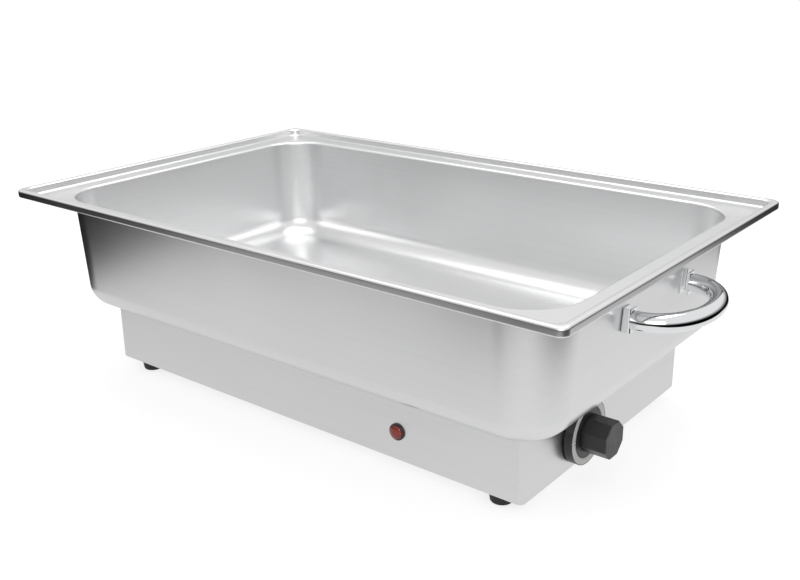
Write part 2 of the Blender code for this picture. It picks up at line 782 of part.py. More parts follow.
def make_thermostat_body():
    half = THERMOSTAT_SIDE / 2
    low = (THERMOSTAT_BACK_X, KNOB_Y - half, KNOB_Z - half)
    high = (THERMOSTAT_FACE_X, KNOB_Y + half, KNOB_Z + half)
    part = add_part("thermostat_body", box_mesh("thermostat_body", low, high), WHITE_CERAMIC)
    bevel = part.modifiers.new("edges", "BEVEL")
    bevel.width = THERMOSTAT_EDGE
    bevel.segments = 2
    start = THERMOSTAT_FACE_X - SPINDLE_INSERT - GAP
    bore = SPINDLE_RADIUS + SPINDLE_RUNNING
    place = (start, KNOB_Y, KNOB_Z)
    drills = [drill("spindle_bore", place, RIGHTWARD, bore, SPINDLE_INSERT + OVERRUN)]
    for number, z in enumerate(thermostat_screw_heights(), 1):
        place = (THERMOSTAT_FACE_X - SCREW_REACH - GAP, KNOB_Y, z)
        name = f"thermostat_thread_{number}"
        length = SCREW_REACH + OVERRUN
        drills.append(drill(name, place, RIGHTWARD, SCREW_RADIUS + GAP, length, SMALL_SIDES))
    cut(part, drills)
    settle(part, WHITE_CERAMIC)


def make_thermostat_screw(number, z):
    place = (END_WALL_X + GAP, KNOB_Y, z)
    reach = GAP + BASE_SHEET + GAP + SCREW_REACH
    screw(f"thermostat_screw_{number}", place, RIGHTWARD, reach, ZINC)


def make_spindle():
    start = THERMOSTAT_FACE_X - SPINDLE_INSERT
    end = GRIP_BACK_X + SPINDLE_END_DEPTH
    mesh = cylinder_mesh("thermostat_spindle", SPINDLE_RADIUS, end - start)
    place = Matrix.Translation((start, KNOB_Y, KNOB_Z)) @ RIGHTWARD
    settle(add_part("thermostat_spindle", mesh, ZINC, place), ZINC)


def bulb_z():
    return UNDERSIDE_Z - GAP - BULB_RADIUS


def make_sensor_bulb():
    mesh = cylinder_mesh("sensor_bulb", BULB_RADIUS, BULB_LENGTH, SMALL_SIDES)
    place = Matrix.Translation((BULB_X - BULB_LENGTH / 2, BULB_Y, bulb_z())) @ RIGHTWARD
    settle(add_part("sensor_bulb", mesh, COPPER, place), COPPER)


def make_capillary():
    """The thin tube from the bulb, past the tray and down to the thermostat's rear face."""
    start = Vector((BULB_X + BULB_LENGTH / 2 + GAP, BULB_Y, bulb_z()))
    end = Vector((THERMOSTAT_BACK_X - GAP, KNOB_Y - THERMOSTAT_SIDE / 4, KNOB_Z + THERMOSTAT_SIDE / 4))
    turn_x = end.x - CAPILLARY_LEAD
    corners = [start, Vector((turn_x, start.y, start.z)), Vector((turn_x, end.y, end.z)), end]
    tube("capillary_tube", rounded_path(corners, CAPILLARY_BEND), CAPILLARY_RADIUS, COPPER, 1)


def make_saddle_clip(name, place, half_width, drop, turn):
    """A strap under a piece, with two flanges against the pan's underside."""
    leg = half_width + GAP
    low = -drop - GAP
    path = [(leg + CLIP_FLANGE, 0), (leg, 0), (leg, low), (-leg, low), (-leg, 0)]
    path.append((-leg - CLIP_FLANGE, 0))
    matrix = Matrix.Translation(place) @ turn @ FRONTWARD
    return ribbon(name, path, CLIP_LENGTH, CLIP_SHEET, matrix, ZINC)


def make_bulb_clip():
    place = (BULB_X, BULB_Y, UNDERSIDE_Z - GAP)
    turn = Matrix.Rotation(math.pi / 2, 4, "Z")
    make_saddle_clip("bulb_clip", place, BULB_RADIUS, 2 * BULB_RADIUS, turn)


def make_thermal_cutout():
    mesh = cylinder_mesh("thermal_cutout", CUTOUT_RADIUS, CUTOUT_HEIGHT)
    place = Matrix.Translation((CUTOUT_X, 0, UNDERSIDE_Z - GAP - CUTOUT_HEIGHT))
    settle(add_part("thermal_cutout", mesh, BLACK_PLASTIC, place), BLACK_PLASTIC)


def make_cutout_clip():
    place = (CUTOUT_X, 0, UNDERSIDE_Z - GAP)
    make_saddle_clip("cutout_clip", place, CUTOUT_RADIUS, CUTOUT_HEIGHT, UP)


# Knob


def make_dial_skirt():
    """A shallow cup round the spindle, open at the back, with a recess for the printed ring."""
    bore = SPINDLE_RADIUS + GAP
    back = -DIAL_DEPTH
    recess = -RING_THICKNESS - GAP
    inner = RING_INNER_RADIUS - GAP
    outer = DIAL_RADIUS - RING_MARGIN
    section = [(bore, 0), (inner, 0), (inner, recess), (outer, recess), (outer, 0)]
    section += [(DIAL_RADIUS, 0), (DIAL_RADIUS, back)]
    section += [(DIAL_RADIUS - DIAL_WALL, back), (DIAL_RADIUS - DIAL_WALL, recess - DIAL_WALL)]
    section += [(bore, recess - DIAL_WALL)]
    place = (DIAL_FACE_X, KNOB_Y, KNOB_Z)
    turned("dial_skirt", section, place, RIGHTWARD, BLACK_PLASTIC, DIAL_SIDES)


def make_dial_ring():
    outer = DIAL_RADIUS - RING_MARGIN - GAP
    low = -RING_THICKNESS
    section = [(RING_INNER_RADIUS, 0), (outer, 0), (outer, low), (RING_INNER_RADIUS, low)]
    place = (DIAL_FACE_X, KNOB_Y, KNOB_Z)
    turned("dial_ring", section, place, RIGHTWARD, GREY_PRINT, DIAL_SIDES)


def make_knob_grip():
    turn = math.pi / GRIP_SIDES
    mesh = cylinder_mesh("knob_grip", GRIP_RADIUS, GRIP_LENGTH, GRIP_SIDES, turn)
    place = Matrix.Translation((GRIP_BACK_X, KNOB_Y, KNOB_Z)) @ RIGHTWARD
    part = add_part("knob_grip", mesh, BLACK_PLASTIC, place)
    bevel = part.modifiers.new("edges", "BEVEL")
    bevel.width = GRIP_EDGE
    bevel.segments = 2
    start = (GRIP_BACK_X - OVERRUN, KNOB_Y, KNOB_Z)
    length = OVERRUN + SPINDLE_END_DEPTH + GAP
    cut(part, [drill("grip_bore", start, RIGHTWARD, SPINDLE_RADIUS + GAP, length)])
    settle(part, BLACK_PLASTIC)


# Indicator lamp


def make_indicator_body():
    """A flanged barrel through the wall, with a pocket for the lens. Its own +Z faces forward."""
    pocket = LAMP_FLANGE_RADIUS - LAMP_RIM
    front = LAMP_FLANGE_THICKNESS
    floor = front - LAMP_POCKET
    socket = LAMP_BARREL_RADIUS - LAMP_RIM
    section = [(0, floor), (socket, floor), (socket, GAP), (pocket, GAP)]
    section += [(pocket, front), (LAMP_FLANGE_RADIUS - LAMP_RIM / 2, front)]
    section += [(LAMP_FLANGE_RADIUS, front / 2), (LAMP_FLANGE_RADIUS, 0)]
    section += [(LAMP_BARREL_RADIUS, 0), (LAMP_BARREL_RADIUS, -LAMP_LENGTH), (0, -LAMP_LENGTH)]
    place = (LAMP_X, FRONT_WALL_Y - GAP, LAMP_Z)
    turned("indicator_body", section, place, FRONTWARD, BLACK_PLASTIC)


def make_indicator_lens():
    """A low dome with a stem that plugs into the barrel."""
    radius = LAMP_FLANGE_RADIUS - LAMP_RIM - GAP
    stem = LAMP_BARREL_RADIUS - LAMP_RIM - GAP
    seat = 2 * GAP
    edge = LAMP_FLANGE_THICKNESS
    dome = []
    for step in range(2 * BEND_STEPS):
        angle = math.pi / 4 * step / BEND_STEPS
        dome.append((radius * math.sin(angle), edge + LENS_DOME * math.cos(angle)))
    bottom = LAMP_FLANGE_THICKNESS - LAMP_POCKET + GAP
    section = dome + [(radius, edge), (radius, seat), (stem, seat), (stem, bottom), (0, bottom)]
    place = (LAMP_X, FRONT_WALL_Y - GAP, LAMP_Z)
    turned("indicator_lens", section, place, FRONTWARD, RED_LENS)


def make_indicator_nut():
    bore = LAMP_BARREL_RADIUS + GAP
    low = -LAMP_NUT_THICKNESS
    section = [(bore, 0), (LAMP_NUT_RADIUS, 0), (LAMP_NUT_RADIUS, low), (bore, low)]
    place = (LAMP_X, FRONT_WALL_Y + BASE_SHEET + GAP, LAMP_Z)
    turned("indicator_nut", section, place, FRONTWARD, ZINC)


# Cord gland and terminal block


def make_cord_gland():
    """A flanged bush through the rear wall, with a tapered nose. Its own +Z faces backward."""
    nose = GLAND_FLANGE_THICKNESS + GLAND_NOSE_LENGTH
    section = [(GLAND_BORE, nose), (GLAND_NOSE_END_RADIUS, nose)]
    section += [(GLAND_NOSE_RADIUS, GLAND_FLANGE_THICKNESS)]
    section += [(GLAND_FLANGE_RADIUS, GLAND_FLANGE_THICKNESS), (GLAND_FLANGE_RADIUS, 0)]
    section += [(GLAND_THREAD_RADIUS, 0), (GLAND_THREAD_RADIUS, -GLAND_THREAD_LENGTH)]
    section += [(GLAND_BORE, -GLAND_THREAD_LENGTH)]
    place = (GLAND_X, REAR_WALL_Y + GAP, GLAND_Z)
    turned("cord_gland", section, place, REARWARD, BLACK_PLASTIC)


def make_gland_nut():
    place = (GLAND_X, REAR_WALL_Y - BASE_SHEET - GAP, GLAND_Z)
    flats, height, thread = GLAND_NUT_FLATS, GLAND_NUT_HEIGHT, GLAND_THREAD_RADIUS
    make_nut("gland_nut", place, FRONTWARD, flats, height, thread, BLACK_PLASTIC, ROUND_SIDES)


def make_terminal_block():
    """A three-pole block on the cover, with a screw well over each pole."""
    low_z = COVER_HIGH + GAP
    low = (BLOCK_X - BLOCK_LENGTH / 2, BLOCK_Y - BLOCK_WIDTH / 2, low_z)
    high = (BLOCK_X + BLOCK_LENGTH / 2, BLOCK_Y + BLOCK_WIDTH / 2, low_z + BLOCK_HEIGHT)
    part = add_part("terminal_block", box_mesh("terminal_block", low, high), WHITE_CERAMIC)
    drills = []
    for pole in (-1, 0, 1):
        for side in (-1, 1):
            x = BLOCK_X + pole * BLOCK_POLE_PITCH
            start = (x, BLOCK_Y + side * BLOCK_WIDTH / 4, high[2] - BLOCK_SCREW_DEPTH)
            name = f"screw_well_{pole + 2}_{side + 2}"
            length = BLOCK_SCREW_DEPTH + OVERRUN
            drills.append(drill(name, start, UP, BLOCK_SCREW_RADIUS, length, SMALL_SIDES))
    cut(part, drills)
    settle(part, WHITE_CERAMIC)


# Wiring


def make_wire(name, corners):
    tube(name, rounded_path(corners, WIRE_BEND), WIRE_RADIUS, WIRE_SLEEVE, 1)


def make_wires():
    """Leads between the terminal block, thermostat, element, cut-out and lamp."""
    rows = element_rows()
    pin = ELEMENT_END + 2 * GAP + TERMINAL_LENGTH
    block = BLOCK_Y - BLOCK_WIDTH / 2 - GAP
    live, middle, neutral = (BLOCK_X + pole * BLOCK_POLE_PITCH for pole in (1, 0, -1))
    back = THERMOSTAT_BACK_X - GAP
    quarter = THERMOSTAT_SIDE / 4
    supply_y, heater_y = KNOB_Y + quarter, KNOB_Y - quarter / 2
    make_wire("supply_wire", [
        (live, block, WIRE_LOW),
        (live, block - WIRE_LEAD, WIRE_LOW),
        (WIRE_RUN_X, supply_y, WIRE_LOW),
        (WIRE_RUN_X, supply_y, WIRE_HIGH),
        (back, supply_y, WIRE_HIGH),
    ])
    make_wire("heater_wire", [
        (back, heater_y, WIRE_HIGH),
        (WIRE_RUN_X, heater_y, WIRE_HIGH),
        (WIRE_RUN_X, rows[0], ELEMENT_Z),
        (pin, rows[0], ELEMENT_Z),
    ])
    cutout_side = CUTOUT_RADIUS + GAP
    make_wire("return_wire", [
        (pin, rows[3], ELEMENT_Z),
        (WIRE_RUN_X, rows[3], ELEMENT_Z),
        (WIRE_RUN_X, rows[3], WIRE_CROSSING),
        (CUTOUT_X, rows[3], WIRE_CROSSING),
        (CUTOUT_X, rows[3], CUTOUT_Z),
        (CUTOUT_X, cutout_side, CUTOUT_Z),
    ])
    make_wire("neutral_wire", [
        (CUTOUT_X, -cutout_side, CUTOUT_Z),
        (CUTOUT_X, -rows[2] - cutout_side, CUTOUT_Z),
        (CUTOUT_X, -rows[2] - cutout_side, WIRE_HIGH),
        (neutral, rows[2] + cutout_side, WIRE_HIGH),
        (neutral, rows[2] + cutout_side, WIRE_LOW),
        (neutral, block, WIRE_LOW),
    ])
    lamp_back = FRONT_WALL_Y + LAMP_LENGTH
    spread = LAMP_BARREL_RADIUS / 2
    make_wire("lamp_wire_1", [
        (LAMP_X + spread, lamp_back, LAMP_Z),
        (LAMP_X + spread, lamp_back + 2 * WIRE_BEND, LAMP_Z),
        (WIRE_RUN_X, KNOB_Y - quarter - spread, WIRE_CROSSING),
        (back, KNOB_Y - quarter - spread, WIRE_CROSSING),
    ])
    make_wire("lamp_wire_2", [
        (LAMP_X - spread, lamp_back, LAMP_Z),
        (LAMP_X - spread, lamp_back + 2 * WIRE_BEND, LAMP_Z),
        (middle, 0, WIRE_LOW),
        (middle, block, WIRE_LOW),
    ])


# Handles


def wall_x(z):
    """Where the pan's end wall has its outer face."""
    return OPENING_LENGTH / 2 - wall_inward(z, PAN_SHEET)


def bracket_outer_x():
    return wall_x(HANDLE_Z) + BRACKET_DEPTH


def make_handle(name, side):
    """A tube bent to half an ellipse, with short straight ends butted on its two brackets."""
    start = bracket_outer_x() + GAP
    bow_start = start + HANDLE_LEAD
    bow_depth = wall_x(HANDLE_Z) + HANDLE_REACH - HANDLE_RADIUS - bow_start
    half = HANDLE_SPREAD / 2
    path = [(start, -half)]
    for step in range(BOW_STEPS + 1):
        angle = math.pi * step / BOW_STEPS
        path.append((bow_start + bow_depth * math.sin(angle), -half * math.cos(angle)))
    path.append((start, half))
    route = [Vector((side * x, side * y, HANDLE_Z)) for x, y in path]
    tube(name, route, HANDLE_RADIUS, POLISHED_STEEL, 6)


def make_bracket(number, side, end, pan_cutter):
    """A strip folded to a C, open towards the middle of the handle, with one leg on the wall."""
    outer = bracket_outer_x()
    inner = wall_x(HANDLE_Z - BRACKET_HEIGHT / 2) + GAP
    half_width = HANDLE_RADIUS - BRACKET_SETBACK
    web = HANDLE_SPREAD / 2 + half_width
    tip = HANDLE_SPREAD / 2 - half_width
    bend = BRACKET_BEND
    path = [(outer, tip)]
    path += arc((outer - bend, web - bend), bend, 0, 90, BEND_STEPS)
    path += arc((inner + bend, web - bend), bend, 90, 180, BEND_STEPS)
    path.append((inner, tip))
    path = [(side * x, end * y) for x, y in path]
    if side * end < 0:
        path.reverse()
    matrix = Matrix.Translation((0, 0, HANDLE_Z))
    name = f"handle_bracket_{number}"
    ribbon(name, path, BRACKET_HEIGHT, BRACKET_SHEET, matrix, POLISHED_STEEL, [pan_cutter])


def main():
    pan_cutter = pan_space()
    make_water_pan()
    make_base_housing(pan_cutter)
    make_bottom_cover()
    for number, (x, y) in enumerate(foot_places(), 1):
        make_foot(number, x, y)
        make_foot_screw(number, x, y)
    for number, (x, y) in enumerate(cover_screw_places(), 1):
        make_cover_screw(number, x, y)
    make_heat_spreader()
    make_heating_element()
    make_element_terminal(1, element_rows()[0])
    make_element_terminal(2, element_rows()[3])
    make_insulation_pad()
    make_pressure_tray()
    for number, (x, y) in enumerate(stud_places(), 1):
        make_stud(number, x, y)
        seat = (x, y, NUT_HIGH - NUT_HEIGHT)
        make_nut(f"stud_nut_{number}", seat, UP, NUT_FLATS, NUT_HEIGHT, STUD_RADIUS, ZINC)
    make_thermostat_body()
    for number, z in enumerate(thermostat_screw_heights(), 1):
        make_thermostat_screw(number, z)
    make_spindle()
    make_sensor_bulb()
    make_capillary()
    make_bulb_clip()
    make_thermal_cutout()
    make_cutout_clip()
    make_dial_skirt()
    make_dial_ring()
    make_knob_grip()
    make_indicator_body()
    make_indicator_lens()
    make_indicator_nut()
    make_cord_gland()
    make_gland_nut()
    make_terminal_block()
    make_wires()
    make_handle("handle_right", 1)
    make_handle("handle_left", -1)
    corners = [(1, -1), (1, 1), (-1, 1), (-1, -1)]
    for number, (side, end) in enumerate(corners, 1):
        make_bracket(number, side, end, pan_cutter)


main()
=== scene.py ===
"""The looks of an electric chafing dish: satin steel pan on a folded base, chrome handles, black knob.

Metres, +Z up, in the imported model's own frame. +X is the end with the knob, and -Y is the front,
with the red lamp. Whatever shows is remade here with fine, rounded shapes, and what lies inside the
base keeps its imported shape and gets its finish.
"""

import json
import math

import bmesh
import bpy
from mathutils import Matrix, Vector


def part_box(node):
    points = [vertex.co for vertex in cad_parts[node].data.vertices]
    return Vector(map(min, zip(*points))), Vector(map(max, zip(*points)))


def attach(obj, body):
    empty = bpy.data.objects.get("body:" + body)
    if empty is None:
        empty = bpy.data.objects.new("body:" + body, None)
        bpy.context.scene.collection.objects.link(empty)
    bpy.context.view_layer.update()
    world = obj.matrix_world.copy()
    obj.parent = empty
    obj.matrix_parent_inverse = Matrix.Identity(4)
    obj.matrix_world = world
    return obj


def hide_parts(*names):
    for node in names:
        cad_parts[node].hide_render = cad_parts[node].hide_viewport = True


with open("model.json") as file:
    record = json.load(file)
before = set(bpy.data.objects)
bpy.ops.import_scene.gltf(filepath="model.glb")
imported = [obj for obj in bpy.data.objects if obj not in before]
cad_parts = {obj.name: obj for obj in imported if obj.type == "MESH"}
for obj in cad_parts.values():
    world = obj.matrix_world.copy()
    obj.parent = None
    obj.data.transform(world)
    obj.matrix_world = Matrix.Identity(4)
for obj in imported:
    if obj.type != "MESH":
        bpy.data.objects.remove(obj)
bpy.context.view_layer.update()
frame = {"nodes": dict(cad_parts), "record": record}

pan_low, pan_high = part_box("water_pan")
base_low, base_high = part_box("base_housing")

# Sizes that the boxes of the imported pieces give
RIM_HALF_X = pan_high.x
RIM_HALF_Y = pan_high.y
RIM_Z = pan_high.z
UNDERSIDE_Z = pan_low.z
BASE_HALF_X = base_high.x
BASE_HALF_Y = base_high.y
BASE_LOW = base_low.z
COVER_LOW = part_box("bottom_cover")[0].z
COVER_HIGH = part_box("bottom_cover")[1].z
FOOT_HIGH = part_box("foot_1")[1].z

# Fineness of the remade shapes, and the gap between pieces that meet
CORNER_STEPS = 28
BEND_STEPS = 8
FILLET_STEPS = 24
TURN_STEPS = 96
SMALL_TURN_STEPS = 48
EDGE_STEPS = 4
SHARP_ANGLE = math.radians(35)
WELD_DISTANCE = 0.000001
CUT_OVERRUN = 0.004
PIECE_GAP = 0.0003

# Water pan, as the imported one
RIM_CORNER = 0.007
PAN_SHEET = 0.001
SKIRT_DEPTH = 0.007
HEM_RADIUS = 0.0015
HEM_RETURN = 0.002
LIP_WIDTH = 0.006
LIP_BEND = 0.002
LIP_CORNER = 0.009
LEDGE_DEPTH = 0.0068
LEDGE_BEND = 0.0015
OPENING_HALF_X = 0.255
OPENING_HALF_Y = 0.155
OPENING_BEND = 0.0025
PAN_CORNER = 0.042
PAN_FILLET = 0.0205
PAN_DRAFT = math.radians(3.24)
LEDGE_Z = RIM_Z - LEDGE_DEPTH
FLOOR_Z = UNDERSIDE_Z + PAN_SHEET

# Base housing and bottom cover
BASE_CORNER = 0.005
BASE_SHEET = 0.0009
BASE_BEND = 0.0015
BASE_FLANGE = 0.024
BASE_FLANGE_CORNER = 0.004
COVER_CORNER = 0.006
COVER_INSET = 0.005
VENT_LENGTH = 0.036
VENT_WIDTH = 0.004
VENT_PITCH_X = 0.060
VENT_PITCH_Y = 0.014
VENT_COLUMNS = 5
VENT_ROWS = 4
VENT_ROUND_SHARE = 0.499

# Feet and screws
FOOT_TOP_RADIUS = 0.010
FOOT_BOTTOM_RADIUS = 0.0085
FOOT_EDGE = 0.0018
FOOT_TOP_EDGE = 0.0004
FOOT_POCKET_RADIUS = 0.0048
FOOT_POCKET_DEPTH = 0.0045
FOOT_BORE = 0.0024
FOOT_INSET_X = 0.026
FOOT_INSET_Y = 0.0145
COVER_SCREW_INSET = 0.012
SCREW_HEAD_RADIUS = 0.0038
SCREW_HEAD_HEIGHT = 0.0022
SCREW_RADIUS = 0.002
SCREW_REACH = 0.010
SCREW_EDGE = 0.0012
SCREW_TIP = 0.0005
CROSS_LENGTH = 0.0042
CROSS_WIDTH = 0.0009
CROSS_DEPTH = 0.0013

# Knob
KNOB_AXIS_Y = -0.0465
KNOB_AXIS_Z = 0.039
DIAL_BACK_X = 0.224
DIAL_DEPTH = 0.0070
DIAL_RADIUS = 0.0255
DIAL_WALL = 0.0018
DIAL_EDGE = 0.0005
DIAL_BORE = 0.0033
RING_INNER_RADIUS = 0.0201
RING_MARGIN = 0.0004
RING_THICKNESS = 0.0006
RING_EDGE = 0.00012
GRIP_SIDES = 8
GRIP_RADIUS = 0.0149
GRIP_LENGTH = 0.0207
GRIP_EDGE = 0.0006
GRIP_BORE_DEPTH = 0.0143
INDEX_WHITE_HALF = 0.00055
INDEX_DARK_HALF = 0.00105

# Lamp
LAMP_X = 0.112
LAMP_Z = 0.0348
LAMP_FLANGE_RADIUS = 0.00675
LAMP_FLANGE_THICKNESS = 0.0014
LAMP_FLANGE_EDGE = 0.0006
LAMP_BARREL_RADIUS = 0.005
LAMP_LENGTH = 0.024
LAMP_RIM = 0.0011
LAMP_POCKET = 0.0030
LENS_DOME = 0.0019
LENS_GAP = 0.0001

# Gland
GLAND_X = 0.150
GLAND_Z = 0.038
GLAND_BORE = 0.0042
GLAND_THREAD_RADIUS = 0.0078
GLAND_FLANGE_RADIUS = 0.012
GLAND_FLANGE_THICKNESS = 0.0035
GLAND_NOSE_RADIUS = 0.0095
GLAND_NOSE_END_RADIUS = 0.0072
GLAND_NOSE_LENGTH = 0.015
GLAND_THREAD_LENGTH = 0.011
GLAND_EDGE = 0.0006
GLAND_GROOVES = 5
GLAND_GROOVE_DEPTH = 0.0008
GLAND_GROOVE_EDGE = 0.0002
GLAND_GROOVE_SHARES = ((0.6, 0.0), (0.75, 1.0), (1.15, 1.0), (1.3, 0.0))

# Handles and brackets
HANDLE_Z = 0.1362
HANDLE_RADIUS = 0.0070
HANDLE_HALF_SPREAD = 0.049
HANDLE_LEAD = 0.0015
HANDLE_REACH = 0.0500
BOW_STEPS = 96
BRACKET_DEPTH = 0.0070
BRACKET_HEIGHT = 0.0180
BRACKET_SHEET = 0.0012
BRACKET_BEND = 0.0018
BRACKET_SETBACK = 0.0020
BRACKET_EDGE = 0.00025

# How a piece's own axis is turned in the dish
UP = Matrix.Identity(4)
RIGHTWARD = Matrix.Rotation(math.pi / 2, 4, "Y")
FRONTWARD = Matrix.Rotation(math.pi / 2, 4, "X")
REARWARD = Matrix.Rotation(-math.pi / 2, 4, "X")


# Node trees


def add_node(tree, kind, sockets=None, **settings):
    """A node with its settings. A socket's value is a plain one, or another node's output."""
    node = tree.nodes.new(kind)
    for name, value in settings.items():
        setattr(node, name, value)
    for name, value in (sockets or {}).items():
        if isinstance(value, bpy.types.NodeSocket):
            tree.links.new(value, node.inputs[name])
        else:
            node.inputs[name].default_value = value
    return node


def new_group(name, kind, inputs, outputs):
    """A node group, its input node's sockets and its output node."""
    group = bpy.data.node_groups.new(name, kind)
    for label, socket, value in inputs:
        made = group.interface.new_socket(name=label, in_out="INPUT", socket_type=socket)
        if value is not None:
            made.default_value = value
    for label, socket in outputs:
        group.interface.new_socket(name=label, in_out="OUTPUT", socket_type=socket)
    start = group.nodes.new("NodeGroupInput")
    end = group.nodes.new("NodeGroupOutput")
    return group, start.outputs, end


def place_group(tree, group, sockets):
    return add_node(tree, "ShaderNodeGroup", sockets, node_tree=group).outputs


def remap(tree, value, low, high, to_low=0.0, to_high=1.0):
    sockets = {"Value": value, "From Min": low, "From Max": high, "To Min": to_low, "To Max": to_high}
    return add_node(tree, "ShaderNodeMapRange", sockets).outputs["Result"]


def calculate(tree, operation, first, second=0.0):
    return add_node(tree, "ShaderNodeMath", {0: first, 1: second}, operation=operation).outputs[0]


def times(tree, first, second):
    return calculate(tree, "MULTIPLY", first, second)


def noise(tree, vector, scale, detail=2.0, roughness=0.5):
    sockets = {"Vector": vector, "Scale": scale, "Detail": detail, "Roughness": roughness}
    return add_node(tree, "ShaderNodeTexNoise", sockets).outputs["Fac"]


FLOAT = "NodeSocketFloat"
VECTOR = "NodeSocketVector"
END_FACE_TILT = 0.75
BROAD_LINE_SHARE = 0.12


def make_brushing_group():
    """Fine lines of a brushed or rolled sheet: along X, and along Y on faces that look along X."""
    inputs = [("Vector", VECTOR, None), ("Lines", FLOAT, 1400.0), ("Stretch", FLOAT, 0.02)]
    outputs = [("Height", FLOAT), ("Streaks", FLOAT)]
    group, given, end = new_group("brushing", "ShaderNodeTree", inputs, outputs)
    normal = group.nodes.new("ShaderNodeNewGeometry").outputs["True Normal"]
    split = add_node(group, "ShaderNodeSeparateXYZ", {0: normal})
    facing_x = calculate(group, "ABSOLUTE", split.outputs["X"])
    on_end = calculate(group, "GREATER_THAN", facing_x, END_FACE_TILT)
    along_x = add_node(group, "ShaderNodeCombineXYZ", {"X": given["Stretch"], "Y": 1.0, "Z": 1.0})
    along_y = add_node(group, "ShaderNodeCombineXYZ", {"X": 1.0, "Y": given["Stretch"], "Z": 1.0})
    choice = add_node(group, "ShaderNodeMix", {0: on_end}, data_type="VECTOR")
    group.links.new(along_x.outputs[0], choice.inputs[4])
    group.links.new(along_y.outputs[0], choice.inputs[5])
    squeezed = add_node(
        group, "ShaderNodeVectorMath", {0: given["Vector"], 1: choice.outputs[1]}, operation="MULTIPLY"
    ).outputs[0]
    fine = noise(group, squeezed, given["Lines"], detail=3.0, roughness=0.65)
    wide = times(group, given["Lines"], BROAD_LINE_SHARE)
    broad = noise(group, squeezed, wide, detail=2.0, roughness=0.55)
    group.links.new(fine, end.inputs["Height"])
    group.links.new(broad, end.inputs["Streaks"])
    return group


def make_clouding_group():
    """Slow, soft variation over a surface, between two values."""
    inputs = [("Vector", VECTOR, None), ("Scale", FLOAT, 12.0)]
    inputs += [("Low", FLOAT, 0.0), ("High", FLOAT, 1.0)]
    group, given, end = new_group("clouding", "ShaderNodeTree", inputs, [("Value", FLOAT)])
    cloud = noise(group, given["Vector"], given["Scale"], detail=4.0, roughness=0.55)
    spread = remap(group, cloud, 0.3, 0.7, to_low=given["Low"], to_high=given["High"])
    group.links.new(spread, end.inputs["Value"])
    return group


def make_wear_group():
    """A mask of rubbed edges: where the surface is sharp, and more there in some places."""
    inputs = [("Vector", VECTOR, None), ("Reach", FLOAT, 0.53), ("Amount", FLOAT, 1.0)]
    group, given, end = new_group("edge_wear", "ShaderNodeTree", inputs, [("Mask", FLOAT)])
    sharpness = group.nodes.new("ShaderNodeNewGeometry").outputs["Pointiness"]
    edge = remap(group, sharpness, low=given["Reach"], high=0.62)
    mottle = noise(group, given["Vector"], scale=260.0, detail=3.0, roughness=0.6)
    patches = remap(group, mottle, low=0.35, high=0.65)
    worn = times(group, edge, patches)
    group.links.new(times(group, worn, given["Amount"]), end.inputs["Mask"])
    return group


def make_dust_group():
    """A mask of fine dust on what faces up."""
    inputs = [("Vector", VECTOR, None), ("Amount", FLOAT, 0.1), ("Scale", FLOAT, 900.0)]
    group, given, end = new_group("dust", "ShaderNodeTree", inputs, [("Mask", FLOAT)])
    normal = group.nodes.new("ShaderNodeNewGeometry").outputs["Normal"]
    upward = add_node(group, "ShaderNodeSeparateXYZ", {0: normal}).outputs["Z"]
    lying = remap(group, upward, low=0.2, high=1.0)
    grains = noise(group, given["Vector"], given["Scale"], detail=4.0, roughness=0.7)
    specks = remap(group, grains, low=0.5, high=0.8)
    mask = times(group, lying, specks)
    group.links.new(times(group, mask, given["Amount"]), end.inputs["Mask"])
    return group


def make_grain_group():
    """The pebbled skin of moulded plastic or rubber."""
    inputs = [("Vector", VECTOR, None), ("Scale", FLOAT, 1800.0)]
    group, given, end = new_group("moulded_grain", "ShaderNodeTree", inputs, [("Height", FLOAT)])
    sockets = {"Vector": given["Vector"], "Scale": given["Scale"]}
    cells = add_node(group, "ShaderNodeTexVoronoi", sockets).outputs["Distance"]
    soft = noise(group, given["Vector"], given["Scale"])
    group.links.new(calculate(group, "ADD", cells, soft), end.inputs["Height"])
    return group


def make_scratch_group():
    """A mask of sparse hairline scratches, in two directions."""
    inputs = [("Vector", VECTOR, None), ("Scale", FLOAT, 60.0), ("Amount", FLOAT, 1.0)]
    group, given, end = new_group("hairlines", "ShaderNodeTree", inputs, [("Mask", FLOAT)])
    masks = []
    for turn, stretch in ((0.5, (0.03, 1.0, 1.0)), (-0.9, (1.0, 0.04, 1.0))):
        sockets = {"Vector": given["Vector"], "Rotation": (0.2, 0.3, turn), "Scale": stretch}
        turned_vector = add_node(group, "ShaderNodeMapping", sockets).outputs[0]
        line = noise(group, turned_vector, given["Scale"], detail=6.0, roughness=0.8)
        masks.append(remap(group, line, low=0.68, high=0.72))
    both = calculate(group, "MAXIMUM", masks[0], masks[1])
    group.links.new(times(group, both, given["Amount"]), end.inputs["Mask"])
    return group


BRUSHING = make_brushing_group()
CLOUDING = make_clouding_group()
EDGE_WEAR = make_wear_group()
DUST = make_dust_group()
GRAIN = make_grain_group()
HAIRLINES = make_scratch_group()


# Finishes


def new_finish(name, **sockets):
    """A material with its shader's plain values set, its tree, shader and object coordinates."""
    material = bpy.data.materials.new(name)
    material.use_nodes = True
    tree = material.node_tree
    shader = tree.nodes["Principled BSDF"]
    for label, value in sockets.items():
        shader.inputs[label.replace("_", " ")].default_value = value
    place = tree.nodes.new("ShaderNodeTexCoord").outputs["Object"]
    return material, tree, shader, place


def blend_colours(tree, share, first, second):
    mix = add_node(tree, "ShaderNodeMix", {0: share}, data_type="RGBA")
    for index, colour in ((6, first), (7, second)):
        if isinstance(colour, bpy.types.NodeSocket):
            tree.links.new(colour, mix.inputs[index])
        else:
            mix.inputs[index].default_value = (*colour, 1)
    return mix.outputs[2]


